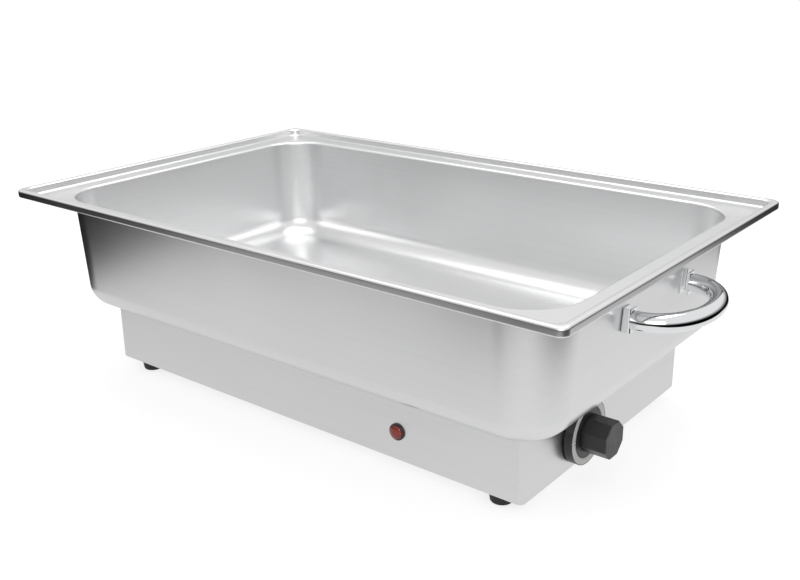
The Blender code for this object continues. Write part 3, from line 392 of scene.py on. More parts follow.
def roughen(tree, shader, height, strength, distance):
    sockets = {"Height": height, "Strength": strength, "Distance": distance}
    bump = add_node(tree, "ShaderNodeBump", sockets)
    tree.links.new(bump.outputs["Normal"], shader.inputs["Normal"])
    return bump


def make_sheet_steel(name, bright, dull, low, high, lines, depth):
    """Satin stainless sheet: fine lines, clouded polish and a slow waviness of the sheet."""
    material, tree, shader, place = new_finish(name, Metallic=1.0)
    brushing = place_group(tree, BRUSHING, {"Vector": place, "Lines": lines})
    clouds = {"Vector": place, "Scale": 9.0, "Low": low, "High": high}
    cloud = place_group(tree, CLOUDING, clouds)["Value"]
    streak = remap(tree, brushing["Streaks"], 0.3, 0.7, to_low=-0.005, to_high=0.005)
    tree.links.new(calculate(tree, "ADD", cloud, streak), shader.inputs["Roughness"])
    share = remap(tree, brushing["Streaks"], low=0.35, high=0.65)
    colour = blend_colours(tree, share, dull, bright)
    tree.links.new(colour, shader.inputs["Base Color"])
    waves = noise(tree, place, scale=9.0, detail=1.0, roughness=0.4)
    wavy = add_node(tree, "ShaderNodeBump", {"Height": waves, "Strength": 0.05, "Distance": 0.0012})
    fine = roughen(tree, shader, brushing["Height"], depth, distance=0.00002)
    tree.links.new(wavy.outputs["Normal"], fine.inputs["Normal"])
    return material


def make_chrome():
    material, tree, shader, place = new_finish("polished_steel", Metallic=1.0)
    hairs = place_group(tree, HAIRLINES, {"Vector": place, "Scale": 90.0})["Mask"]
    clouds = {"Vector": place, "Scale": 40.0, "Low": 0.035, "High": 0.075}
    cloud = place_group(tree, CLOUDING, clouds)["Value"]
    rough = calculate(tree, "ADD", cloud, times(tree, hairs, 0.12))
    tree.links.new(rough, shader.inputs["Roughness"])
    colour = blend_colours(tree, hairs, (0.83, 0.84, 0.85), (0.70, 0.71, 0.72))
    tree.links.new(colour, shader.inputs["Base Color"])
    waves = noise(tree, place, scale=55.0, detail=1.0, roughness=0.4)
    roughen(tree, shader, waves, strength=0.12, distance=0.0004)
    return material


def make_moulding(name, colour, worn, low, high, scale, depth, wear):
    """Moulded plastic or rubber: pebbled skin, slightly shiny or dull patches and rubbed edges."""
    material, tree, shader, place = new_finish(name)
    grain = place_group(tree, GRAIN, {"Vector": place, "Scale": scale})["Height"]
    clouds = {"Vector": place, "Scale": 70.0, "Low": low, "High": high}
    cloud = place_group(tree, CLOUDING, clouds)["Value"]
    tree.links.new(cloud, shader.inputs["Roughness"])
    edge = place_group(tree, EDGE_WEAR, {"Vector": place, "Amount": wear})["Mask"]
    dust = place_group(tree, DUST, {"Vector": place, "Amount": 0.12})["Mask"]
    share = calculate(tree, "MAXIMUM", edge, dust)
    tree.links.new(blend_colours(tree, share, colour, worn), shader.inputs["Base Color"])
    roughen(tree, shader, grain, depth, distance=0.00008)
    return material


def make_dial_print():
    """The ring's grey print, with a white index between two dark strokes at the side of -Y."""
    material, tree, shader, place = new_finish("grey_print", Roughness=0.38)
    axis = (0.0, -KNOB_AXIS_Y, -KNOB_AXIS_Z)
    centred = add_node(tree, "ShaderNodeVectorMath", {0: place, 1: axis}, operation="ADD").outputs[0]
    split = add_node(tree, "ShaderNodeSeparateXYZ", {0: centred})
    height = calculate(tree, "ABSOLUTE", split.outputs["Z"])
    on_side = calculate(tree, "LESS_THAN", split.outputs["Y"], 0.0)
    in_white = calculate(tree, "LESS_THAN", height, INDEX_WHITE_HALF)
    in_dark = calculate(tree, "LESS_THAN", height, INDEX_DARK_HALF)
    white = times(tree, on_side, in_white)
    dark = times(tree, on_side, in_dark)
    speckle = noise(tree, place, scale=2600.0, detail=3.0, roughness=0.6)
    grey = blend_colours(tree, speckle, (0.46, 0.46, 0.45), (0.56, 0.56, 0.55))
    marked = blend_colours(tree, dark, grey, (0.02, 0.02, 0.02))
    indexed = blend_colours(tree, white, marked, (0.85, 0.85, 0.84))
    tree.links.new(indexed, shader.inputs["Base Color"])
    roughen(tree, shader, speckle, strength=0.15, distance=0.00003)
    return material


def make_red_lens():
    """Red lens: clear over a dark socket, with a moulded prism pattern and a few soft flow marks."""
    settings = {"Transmission_Weight": 0.55, "IOR": 1.49, "Coat_Weight": 0.3}
    material, tree, shader, place = new_finish("red_lens", **settings)
    cloud = place_group(tree, CLOUDING, {"Vector": place, "Scale": 220.0})["Value"]
    colour = blend_colours(tree, cloud, (0.30, 0.020, 0.010), (0.50, 0.045, 0.020))
    tree.links.new(colour, shader.inputs["Base Color"])
    roughness = {"Vector": place, "Scale": 500.0, "Low": 0.12, "High": 0.22}
    tree.links.new(place_group(tree, CLOUDING, roughness)["Value"], shader.inputs["Roughness"])
    cells = {"Vector": place, "Scale": 900.0}
    prisms = add_node(tree, "ShaderNodeTexVoronoi", cells).outputs["Distance"]
    roughen(tree, shader, prisms, strength=0.12, distance=0.0002)
    return material


def make_galvanised():
    """Zinc spangle: cells of unlike brightness and polish."""
    material, tree, shader, place = new_finish("galvanised_steel", Metallic=1.0)
    cells = add_node(tree, "ShaderNodeTexVoronoi", {"Vector": place, "Scale": 160.0})
    tone = add_node(tree, "ShaderNodeSeparateColor", {0: cells.outputs["Color"]}).outputs["Red"]
    colour = blend_colours(tree, tone, (0.46, 0.47, 0.49), (0.64, 0.65, 0.67))
    tree.links.new(colour, shader.inputs["Base Color"])
    rough = remap(tree, tone, 0.0, 1.0, to_low=0.34, to_high=0.56)
    tree.links.new(rough, shader.inputs["Roughness"])
    tooth = noise(tree, place, scale=700.0, detail=3.0, roughness=0.6)
    roughen(tree, shader, tooth, strength=0.2, distance=0.00005)
    return material


def make_plain_metal(name, bright, dull, low, high, scale):
    """A small metal part's finish: clouded tone and polish with a fine tooth."""
    material, tree, shader, place = new_finish(name, Metallic=1.0)
    tone = place_group(tree, CLOUDING, {"Vector": place, "Scale": scale})["Value"]
    tree.links.new(blend_colours(tree, tone, dull, bright), shader.inputs["Base Color"])
    clouds = {"Vector": place, "Scale": scale, "Low": low, "High": high}
    tree.links.new(place_group(tree, CLOUDING, clouds)["Value"], shader.inputs["Roughness"])
    tooth = noise(tree, place, scale=1500.0, detail=3.0, roughness=0.6)
    roughen(tree, shader, tooth, strength=0.15, distance=0.00004)
    return material


def make_matte(name, pale, dark, low, high, scale, depth):
    """A dull finish, such as wool, a woven sleeve or fired clay, mottled between two colours."""
    material, tree, shader, place = new_finish(name)
    mottle = noise(tree, place, scale, detail=5.0, roughness=0.7)
    tree.links.new(blend_colours(tree, mottle, dark, pale), shader.inputs["Base Color"])
    clouds = {"Vector": place, "Scale": 60.0, "Low": low, "High": high}
    tree.links.new(place_group(tree, CLOUDING, clouds)["Value"], shader.inputs["Roughness"])
    roughen(tree, shader, mottle, depth, distance=0.0004)
    return material


# Bright and dull colour, lowest and highest roughness, lines in a metre, depth of the lines
SHEET_STEELS = {
    "pan_steel": ((0.80, 0.802, 0.805), (0.785, 0.787, 0.79), 0.295, 0.335, 2600.0, 0.03),
    "base_steel": ((0.75, 0.752, 0.755), (0.735, 0.737, 0.74), 0.30, 0.35, 2400.0, 0.04),
}
# Bright and dull colour, lowest and highest roughness, scale
PLAIN_METALS = {
    "aluminium": ((0.80, 0.80, 0.81), (0.70, 0.70, 0.72), 0.30, 0.48, 35.0),
    "zinc_steel": ((0.70, 0.70, 0.72), (0.58, 0.58, 0.61), 0.24, 0.42, 180.0),
    "element_sheath": ((0.26, 0.25, 0.24), (0.13, 0.12, 0.12), 0.42, 0.66, 90.0),
    "copper": ((0.78, 0.42, 0.28), (0.56, 0.27, 0.17), 0.22, 0.42, 120.0),
}
# Colour, worn colour, lowest and highest roughness, scale and depth of the grain, wear of the edges
MOULDINGS = {
    "black_plastic": ((0.016, 0.016, 0.017), (0.075, 0.075, 0.078), 0.30, 0.44, 2600.0, 0.20, 0.6),
    "black_rubber": ((0.014, 0.014, 0.014), (0.06, 0.06, 0.06), 0.62, 0.8, 1500.0, 0.35, 0.4),
}
# Pale and dark colour, lowest and highest roughness, scale and depth of the mottle
MATTES = {
    "mineral_wool": ((0.80, 0.77, 0.70), (0.60, 0.57, 0.50), 0.9, 1.0, 400.0, 0.8),
    "white_ceramic": ((0.84, 0.83, 0.80), (0.76, 0.75, 0.71), 0.22, 0.4, 150.0, 0.1),
    "wire_sleeve": ((0.68, 0.66, 0.61), (0.50, 0.48, 0.43), 0.55, 0.7, 2200.0, 0.5),
}


def make_finishes():
    """Every finish, by the slot that it is for."""
    finishes = {
        "polished_steel": make_chrome(),
        "galvanised_steel": make_galvanised(),
        "grey_print": make_dial_print(),
        "red_lens": make_red_lens(),
    }
    kinds = (
        (make_sheet_steel, SHEET_STEELS),
        (make_plain_metal, PLAIN_METALS),
        (make_moulding, MOULDINGS),
        (make_matte, MATTES),
    )
    for make, rows in kinds:
        for name, values in rows.items():
            finishes[name] = make(name, *values)
    return finishes


FINISHES = make_finishes()


# Mesh building


def arc(centre, radius, start, end, steps):
    """Points of an arc in a section, with its angles in degrees."""
    points = []
    for step in range(steps + 1):
        angle = math.radians(start + (end - start) * step / steps)
        points.append((centre[0] + radius * math.cos(angle), centre[1] + radius * math.sin(angle)))
    return points


def rounded_rectangle(half_x, half_y, radius, z=0.0, steps=CORNER_STEPS):
    """A rounded rectangle's points, anticlockwise seen from above."""
    ring = []
    signs = ((1, 1), (-1, 1), (-1, -1), (1, -1))
    for quarter, (sign_x, sign_y) in enumerate(signs):
        middle = (sign_x * (half_x - radius), sign_y * (half_y - radius))
        for x, y in arc(middle, radius, 90 * quarter, 90 * quarter + 90, steps):
            ring.append((x, y, z))
    return ring


def round_corners(points, radii, steps=EDGE_STEPS):
    """A closed outline whose corners are rounded, each to its radius. None keeps a corner sharp."""
    corners = [Vector(point) for point in points]
    path = []
    for i, (corner, radius) in enumerate(zip(corners, radii)):
        if not radius:
            path.append(tuple(corner))
            continue
        back = (corners[i - 1] - corner).normalized()
        onward = (corners[(i + 1) % len(corners)] - corner).normalized()
        half_angle = back.angle(onward) / 2
        reach = radius / math.tan(half_angle)
        centre = corner + (back + onward).normalized() * (radius / math.sin(half_angle))
        start = corner + back * reach - centre
        end = corner + onward * reach - centre
        turn = start.angle_signed(end) * -1
        for step in range(steps + 1):
            spin = Matrix.Rotation(turn * step / steps, 2)
            path.append(tuple(centre + spin @ start))
    return path


def new_mesh(name, shape):
    mesh = bpy.data.meshes.new(name)
    shape.to_mesh(mesh)
    shape.free()
    return mesh


def loft(name, rings, first_cap=False, last_cap=False):
    """A skin over rings with as many points each. It faces outwards where the rings go up."""
    shape = bmesh.new()
    levels = [[shape.verts.new(point) for point in ring] for ring in rings]
    for low, high in zip(levels, levels[1:]):
        for i in range(len(low)):
            j = (i + 1) % len(low)
            shape.faces.new((low[i], low[j], high[j], high[i]))
    if first_cap:
        shape.faces.new(list(reversed(levels[0])))
    if last_cap:
        shape.faces.new(levels[-1])
    return new_mesh(name, shape)


def turned(name, section, steps=TURN_STEPS):
    """A closed turned body from its closed section of (radius, height), about its own Z axis."""
    shape = bmesh.new()
    columns = []
    for step in range(steps):
        angle = 2 * math.pi * step / steps
        column = []
        for radius, height in section:
            point = (radius * math.cos(angle), radius * math.sin(angle), height)
            column.append(shape.verts.new(point))
        columns.append(column)
    for i, column in enumerate(columns):
        after = columns[(i + 1) % steps]
        for j in range(len(section)):
            k = (j + 1) % len(section)
            shape.faces.new((column[j], after[j], after[k], column[k]))
    bmesh.ops.remove_doubles(shape, verts=shape.verts, dist=WELD_DISTANCE)
    bmesh.ops.dissolve_degenerate(shape, edges=shape.edges, dist=WELD_DISTANCE)
    bmesh.ops.recalc_face_normals(shape, faces=shape.faces)
    return new_mesh(name, shape)


def cylinder_mesh(name, radius, length, sides, turn=0.0):
    """A cylinder or prism standing on its own origin."""
    shape = bmesh.new()
    bmesh.ops.create_cone(
        shape, cap_ends=True, segments=sides, radius1=radius, radius2=radius, depth=length
    )
    place = Matrix.Translation((0, 0, length / 2)) @ Matrix.Rotation(turn, 4, "Z")
    bmesh.ops.transform(shape, matrix=place, verts=shape.verts)
    return new_mesh(name, shape)


def box_mesh(name, size):
    shape = bmesh.new()
    bmesh.ops.create_cube(shape, size=1)
    bmesh.ops.transform(shape, matrix=Matrix.Diagonal((*size, 1)), verts=shape.verts)
    return new_mesh(name, shape)


def add_object(name, mesh):
    made = bpy.data.objects.new(name, mesh)
    bpy.context.scene.collection.objects.link(made)
    return made


def drop_object(thing):
    mesh = thing.data
    bpy.data.objects.remove(thing, do_unlink=True)
    bpy.data.meshes.remove(mesh)


def settle(piece):
    """The piece's evaluated shape becomes its own mesh, and its modifiers go."""
    graph = bpy.context.evaluated_depsgraph_get()
    mesh = bpy.data.meshes.new_from_object(piece.evaluated_get(graph))
    old = piece.data
    piece.modifiers.clear()
    piece.data = mesh
    bpy.data.meshes.remove(old)


def thicken(piece, sheet):
    """Gives a skin its sheet thickness, on the side that it faces away from."""
    modifier = piece.modifiers.new("sheet", "SOLIDIFY")
    modifier.thickness = sheet
    modifier.offset = -1
    modifier.use_even_offset = True


def round_edges(piece, width, steps=2, angle=40):
    modifier = piece.modifiers.new("edges", "BEVEL")
    modifier.width = width
    modifier.segments = steps
    modifier.limit_method = "ANGLE"
    modifier.angle_limit = math.radians(angle)
    modifier.use_clamp_overlap = True


def cut_out(piece, mesh, matrix=UP):
    """Cuts a shape out of the piece at once, so that the shape can go."""
    cutter = add_object(piece.name + "_cutter", mesh)
    cutter.matrix_world = matrix
    modifier = piece.modifiers.new("cut", "BOOLEAN")
    modifier.operation = "DIFFERENCE"
    modifier.object = cutter
    settle(piece)
    drop_object(cutter)


def dress(piece, body, slot, nodes, even=True):
    """Smooths a finished piece, gives it its slot's finish, and puts it in place of CAD nodes."""
    mesh = piece.data
    mesh.materials.clear()
    mesh.materials.append(FINISHES[slot])
    mesh.shade_smooth()
    mesh.set_sharp_from_angle(angle=SHARP_ANGLE)
    if even:
        modifier = piece.modifiers.new("even_normals", "WEIGHTED_NORMAL")
        modifier.keep_sharp = True
        modifier.weight = 100
    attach(piece, body)
    if nodes:
        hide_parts(*nodes)
    return piece


def turned_piece(name, section, place, turn=UP, steps=TURN_STEPS):
    return place_mesh(name, turned(name, section, steps), place, turn)


def place_mesh(name, mesh, place, turn=UP):
    """An object at the origin, with its place and turn in its mesh."""
    mesh.transform(Matrix.Translation(place) @ turn)
    return add_object(name, mesh)


# Water pan


def rim_ring(inset, z, corner):
    return rounded_rectangle(RIM_HALF_X - inset, RIM_HALF_Y - inset, corner, z)


def rim_rings():
    """Rings over the hem, skirt, lip and ledge, in the order that the sheet runs."""
    hem = RIM_Z - SKIRT_DEPTH
    curl = [(2 * HEM_RADIUS, hem + HEM_RADIUS + HEM_RETURN)]
    curl += arc((HEM_RADIUS, hem + HEM_RADIUS), HEM_RADIUS, 0, -180, 2 * BEND_STEPS)
    lip = arc((LIP_BEND, RIM_Z - LIP_BEND), LIP_BEND, 180, 90, BEND_STEPS)
    lip += arc((LIP_WIDTH - LIP_BEND, RIM_Z - LIP_BEND), LIP_BEND, 90, 0, BEND_STEPS)
    lip += arc((LIP_WIDTH + LEDGE_BEND, LEDGE_Z + LEDGE_BEND), LEDGE_BEND, 180, 270, BEND_STEPS)
    rings = []
    for inset, z in curl:
        rings.append(rim_ring(inset, z, max(RIM_CORNER - inset, HEM_RADIUS)))
    for inset, z in lip:
        share = min(inset / LIP_WIDTH, 1)
        rings.append(rim_ring(inset, z, RIM_CORNER + (LIP_CORNER - RIM_CORNER) * share))
    return rings


def body_ring(inward, z):
    """A ring of the drawn body, inward of the opening. Its corners share their centres."""
    corner = PAN_CORNER - inward
    return rounded_rectangle(OPENING_HALF_X - inward, OPENING_HALF_Y - inward, corner, z)


def wall_inward(z, outside=0.0):
    """How far in from the opening the leaning wall is at a height, on a face set outside it."""
    return ((LEDGE_Z - z) * math.sin(PAN_DRAFT) - outside) / math.cos(PAN_DRAFT)


def opening_bend_rings():
    lean = math.degrees(PAN_DRAFT)
    inward = -OPENING_BEND * (1 - math.sin(PAN_DRAFT)) / math.cos(PAN_DRAFT)
    bend = arc((inward, LEDGE_Z - OPENING_BEND), OPENING_BEND, 90, lean, BEND_STEPS)
    return [body_ring(*point) for point in bend]


def fillet_rings():
    lean = math.degrees(PAN_DRAFT)
    centre_z = FLOOR_Z + PAN_FILLET
    inward = wall_inward(centre_z) + PAN_FILLET / math.cos(PAN_DRAFT)
    bend = arc((inward, centre_z), PAN_FILLET, 180 + lean, 270, FILLET_STEPS)
    return [body_ring(*point) for point in bend]


def make_water_pan():
    rings = rim_rings() + opening_bend_rings() + fillet_rings()
    pan = add_object("drawn_water_pan", loft("drawn_water_pan", rings, last_cap=True))
    thicken(pan, PAN_SHEET)
    settle(pan)
    dress(pan, "dish", "pan_steel", ["water_pan"])


# Base housing, bottom cover, feet and screws


def base_rings():
    """Rings from the inner edge of the bottom flange, out and up the wall."""
    inner_x, inner_y = BASE_HALF_X - BASE_FLANGE, BASE_HALF_Y - BASE_FLANGE
    rings = [rounded_rectangle(inner_x, inner_y, BASE_FLANGE_CORNER, BASE_LOW)]
    for inset, z in arc((BASE_BEND, BASE_LOW + BASE_BEND), BASE_BEND, 270, 180, BEND_STEPS):
        corner = BASE_CORNER - inset
        rings.append(rounded_rectangle(BASE_HALF_X - inset, BASE_HALF_Y - inset, corner, z))
    rings.append(rounded_rectangle(BASE_HALF_X, BASE_HALF_Y, BASE_CORNER, base_high.z))
    return rings


def make_base_housing():
    base = add_object("folded_base", loft("folded_base", base_rings()))
    thicken(base, BASE_SHEET)
    settle(base)
    holes = [
        (Vector((BASE_HALF_X, KNOB_AXIS_Y, KNOB_AXIS_Z)), RIGHTWARD, DIAL_BORE),
        (Vector((LAMP_X, -BASE_HALF_Y, LAMP_Z)), FRONTWARD, LAMP_BARREL_RADIUS),
        (Vector((GLAND_X, BASE_HALF_Y, GLAND_Z)), REARWARD, GLAND_THREAD_RADIUS),
    ]
    for place, turn, radius in holes:
        drill = cylinder_mesh("drill", radius, 2 * CUT_OVERRUN, SMALL_TURN_STEPS)
        cut_out(base, drill, Matrix.Translation(place) @ turn @ Matrix.Translation((0, 0, -CUT_OVERRUN)))
    dress(base, "dish", "base_steel", ["base_housing"])


def foot_places():
    x, y = BASE_HALF_X - FOOT_INSET_X, BASE_HALF_Y - FOOT_INSET_Y
    return [(x, -y), (x, y), (-x, y), (-x, -y)]


def cover_screw_places():
    x, y = BASE_HALF_X - COVER_SCREW_INSET, BASE_HALF_Y - COVER_SCREW_INSET
    return [(x, 0), (0, y), (-x, 0), (0, -y)]


def make_feet():
    section = round_corners(
        [
            (FOOT_BORE, FOOT_HIGH),
            (FOOT_TOP_RADIUS, FOOT_HIGH),
            (FOOT_BOTTOM_RADIUS, 0),
            (FOOT_POCKET_RADIUS, 0),
            (FOOT_POCKET_RADIUS, FOOT_POCKET_DEPTH),
            (FOOT_BORE, FOOT_POCKET_DEPTH),
        ],
        [0, FOOT_TOP_EDGE, FOOT_EDGE, FOOT_TOP_EDGE, 0, 0],
        2 * EDGE_STEPS,
    )
    for number, (x, y) in enumerate(foot_places(), 1):
        foot = turned_piece(f"rubber_foot_{number}", section, (x, y, 0), steps=SMALL_TURN_STEPS)
        dress(foot, "dish", "black_rubber", [f"foot_{number}"])


def make_screw_template():
    """A pan-head screw with a cross recess, its head up and its seat at its own origin."""
    section = round_corners(
        [
            (0, SCREW_HEAD_HEIGHT),
            (SCREW_HEAD_RADIUS, SCREW_HEAD_HEIGHT),
            (SCREW_HEAD_RADIUS, 0),
            (SCREW_RADIUS, 0),
            (SCREW_RADIUS, -SCREW_REACH),
            (0, -SCREW_REACH),
        ],
        [0, SCREW_EDGE, 0, 0, SCREW_TIP, 0],
    )
    screw = add_object("screw_template", turned("screw_template", section, SMALL_TURN_STEPS))
    for length, width in ((CROSS_LENGTH, CROSS_WIDTH), (CROSS_WIDTH, CROSS_LENGTH)):
        recess = box_mesh("recess", (length, width, 2 * CROSS_DEPTH))
        cut_out(screw, recess, Matrix.Translation((0, 0, SCREW_HEAD_HEIGHT)))
    return screw


def new_geometry_tree(name, inputs):
    """A Geometry Nodes tree that takes and gives a geometry, with its named sizes."""
    sockets = [("Geometry", "NodeSocketGeometry", None)] + inputs
    return new_group(name, "GeometryNodeTree", sockets, [("Geometry", "NodeSocketGeometry")])


def close_tree(tree, end, geometry, finish):
    """Realises what a tree has made, gives it its finish and puts it out."""
    real = add_node(tree, "GeometryNodeRealizeInstances", {"Geometry": geometry})
    coated = add_node(
        tree, "GeometryNodeSetMaterial", {"Geometry": real.outputs["Geometry"], "Material": finish}
    )
    tree.links.new(coated.outputs["Geometry"], end.inputs["Geometry"])


def run_tree(piece, tree, values):
    """Runs a tree on a piece with its named inputs set, and makes the result its plain mesh."""
    modifier = piece.modifiers.new(tree.name, "NODES")
    modifier.node_group = tree
    for item in tree.interface.items_tree:
        if item.in_out == "INPUT" and item.name in values:
            modifier[item.identifier] = values[item.name]
    settle(piece)


def make_screw_tree():
    """Sets a copy of the template screw, turned head down, on every point."""
    inputs = [("Screw", "NodeSocketObject", None), ("Finish", "NodeSocketMaterial", None)]
    tree, given, end = new_geometry_tree("screws_on_points", inputs)
    template = add_node(tree, "GeometryNodeObjectInfo", {"Object": given["Screw"], "As Instance": True})
    sockets = {
        "Points": given["Geometry"],
        "Instance": template.outputs["Geometry"],
        "Rotation": (math.pi, 0.0, 0.0),
    }
    copies = add_node(tree, "GeometryNodeInstanceOnPoints", sockets)
    close_tree(tree, end, copies.outputs["Instances"], given["Finish"])
    return tree


def make_screws():
    template = make_screw_template()
    tree = make_screw_tree()
    rows = [
        ("foot_screws", foot_places(), FOOT_POCKET_DEPTH, "foot_screw_"),
        ("cover_screws", cover_screw_places(), COVER_LOW, "cover_screw_"),
    ]
    for name, places, seat, node in rows:
        mesh = bpy.data.meshes.new(name)
        mesh.from_pydata([(x, y, seat) for x, y in places], [], [])
        screws = add_object(name, mesh)
        run_tree(screws, tree, {"Screw": template, "Finish": FINISHES["zinc_steel"]})
        dress(screws, "dish", "zinc_steel", [node + str(number) for number in range(1, 5)])
    drop_object(template)


def upright_solid(tree, outline, low, high):
    """A flat outline's curve drawn up between two heights, with both ends closed."""
    start = add_node(tree, "ShaderNodeCombineXYZ", {"Z": low}).outputs[0]
    end = add_node(tree, "ShaderNodeCombineXYZ", {"Z": high}).outputs[0]
    line = add_node(tree, "GeometryNodeCurvePrimitiveLine", {"Start": start, "End": end})
    sockets = {"Curve": line.outputs[0], "Profile Curve": outline, "Fill Caps": True}
    return add_node(tree, "GeometryNodeCurveToMesh", sockets).outputs[0]


def rounded_outline(tree, length, width, radius, steps):
    sockets = {"Width": length, "Height": width}
    flat = add_node(tree, "GeometryNodeCurvePrimitiveQuadrilateral", sockets, mode="RECTANGLE")
    sockets = {"Curve": flat.outputs[0], "Radius": radius, "Count": steps}
    return add_node(tree, "GeometryNodeFilletCurve", sockets, mode="POLY").outputs[0]


def make_vent_tree():
    """A flat plate with rounded corners, less a grid of slots."""
    sizes = [
        "Length", "Width", "Corner", "Low", "High",
        "Slot Length", "Slot Width", "Pitch X", "Pitch Y", "Overrun",
    ]
    inputs = [(name, FLOAT, 0.0) for name in sizes]
    inputs += [("Columns", "NodeSocketInt", 1), ("Rows", "NodeSocketInt", 1)]
    inputs += [("Finish", "NodeSocketMaterial", None)]
    tree, given, end = new_geometry_tree("vented_plate", inputs)
    outline = rounded_outline(tree, given["Length"], given["Width"], given["Corner"], BEND_STEPS)
    plate = upright_solid(tree, outline, given["Low"], given["High"])
    round_end = times(tree, given["Slot Width"], VENT_ROUND_SHARE)
    slot = rounded_outline(tree, given["Slot Length"], given["Slot Width"], round_end, BEND_STEPS)
    below = calculate(tree, "SUBTRACT", given["Low"], given["Overrun"])
    above = calculate(tree, "ADD", given["High"], given["Overrun"])
    cutter = upright_solid(tree, slot, below, above)
    gaps_x = calculate(tree, "SUBTRACT", given["Columns"], 1.0)
    gaps_y = calculate(tree, "SUBTRACT", given["Rows"], 1.0)
    sockets = {
        "Size X": times(tree, gaps_x, given["Pitch X"]),
        "Size Y": times(tree, gaps_y, given["Pitch Y"]),
        "Vertices X": given["Columns"],
        "Vertices Y": given["Rows"],
    }
    grid = add_node(tree, "GeometryNodeMeshGrid", sockets)
    sockets = {"Points": grid.outputs["Mesh"], "Instance": cutter}
    slots = add_node(tree, "GeometryNodeInstanceOnPoints", sockets)
    real = add_node(tree, "GeometryNodeRealizeInstances", {"Geometry": slots.outputs["Instances"]})
    vented = add_node(tree, "GeometryNodeMeshBoolean", operation="DIFFERENCE")
    tree.links.new(plate, vented.inputs["Mesh 1"])
    tree.links.new(real.outputs["Geometry"], vented.inputs["Mesh 2"])
    close_tree(tree, end, vented.outputs["Mesh"], given["Finish"])
    return tree


def make_bottom_cover():
    cover = add_object("vented_cover", bpy.data.meshes.new("vented_cover"))
    sizes = {
        "Length": 2 * (BASE_HALF_X - COVER_INSET),
        "Width": 2 * (BASE_HALF_Y - COVER_INSET),
        "Corner": COVER_CORNER,
        "Low": COVER_LOW,
        "High": COVER_HIGH,
        "Slot Length": VENT_LENGTH,
        "Slot Width": VENT_WIDTH,
        "Pitch X": VENT_PITCH_X,
        "Pitch Y": VENT_PITCH_Y,
        "Overrun": CUT_OVERRUN,
        "Columns": VENT_COLUMNS,
        "Rows": VENT_ROWS,
        "Finish": FINISHES["galvanised_steel"],
    }
    run_tree(cover, make_vent_tree(), sizes)
    for x, y in foot_places() + cover_screw_places():
        drill = cylinder_mesh("drill", FOOT_BORE, 2 * CUT_OVERRUN, SMALL_TURN_STEPS)
        cut_out(cover, drill, Matrix.Translation((x, y, COVER_LOW - CUT_OVERRUN)))
    dress(cover, "dish", "galvanised_steel", ["bottom_cover"])


# Knob


def make_dial():
    """The knob's round skirt with its printed ring let into the face."""
    recess = -RING_THICKNESS - PIECE_GAP
    inner = RING_INNER_RADIUS - PIECE_GAP
    outer = DIAL_RADIUS - RING_MARGIN
    floor = recess - DIAL_WALL
    inside = DIAL_RADIUS - DIAL_WALL
    section = round_corners(
        [
            (DIAL_BORE, 0), (inner, 0), (inner, recess), (outer, recess), (outer, 0),
            (DIAL_RADIUS, 0), (DIAL_RADIUS, -DIAL_DEPTH), (inside, -DIAL_DEPTH),
            (inside, floor), (DIAL_BORE, floor),
        ],
        [0, RING_EDGE, 0, 0, RING_EDGE, RING_EDGE, DIAL_EDGE, DIAL_EDGE / 2, DIAL_EDGE, 0],
    )
    place = (DIAL_BACK_X + DIAL_DEPTH, KNOB_AXIS_Y, KNOB_AXIS_Z)
    skirt = turned_piece("knob_skirt", section, place, RIGHTWARD)
    dress(skirt, "knob", "black_plastic", ["dial_skirt"])
    rim = outer - PIECE_GAP / 3
    inner = RING_INNER_RADIUS
    corners = [(inner, 0), (rim, 0), (rim, -RING_THICKNESS), (inner, -RING_THICKNESS)]
    ring_section = round_corners(corners, [RING_EDGE, RING_EDGE, 0, 0])
    ring = turned_piece("printed_ring", ring_section, place, RIGHTWARD)
    dress(ring, "knob", "grey_print", ["dial_ring"])


def make_grip():
    turn = math.pi / GRIP_SIDES
    mesh = cylinder_mesh("knob_grip_moulding", GRIP_RADIUS, GRIP_LENGTH, GRIP_SIDES, turn)
    place = (DIAL_BACK_X + DIAL_DEPTH + PIECE_GAP, KNOB_AXIS_Y, KNOB_AXIS_Z)
    grip = place_mesh("knob_grip_moulding", mesh, place, RIGHTWARD)
    round_edges(grip, GRIP_EDGE, EDGE_STEPS, 30)
    settle(grip)
    length = CUT_OVERRUN + GRIP_BORE_DEPTH
    bore = cylinder_mesh("bore", DIAL_BORE, length, SMALL_TURN_STEPS)
    start = Vector(place) - Vector((CUT_OVERRUN, 0, 0))
    cut_out(grip, bore, Matrix.Translation(start) @ RIGHTWARD)
    dress(grip, "knob", "black_plastic", ["knob_grip"])


# Lamp


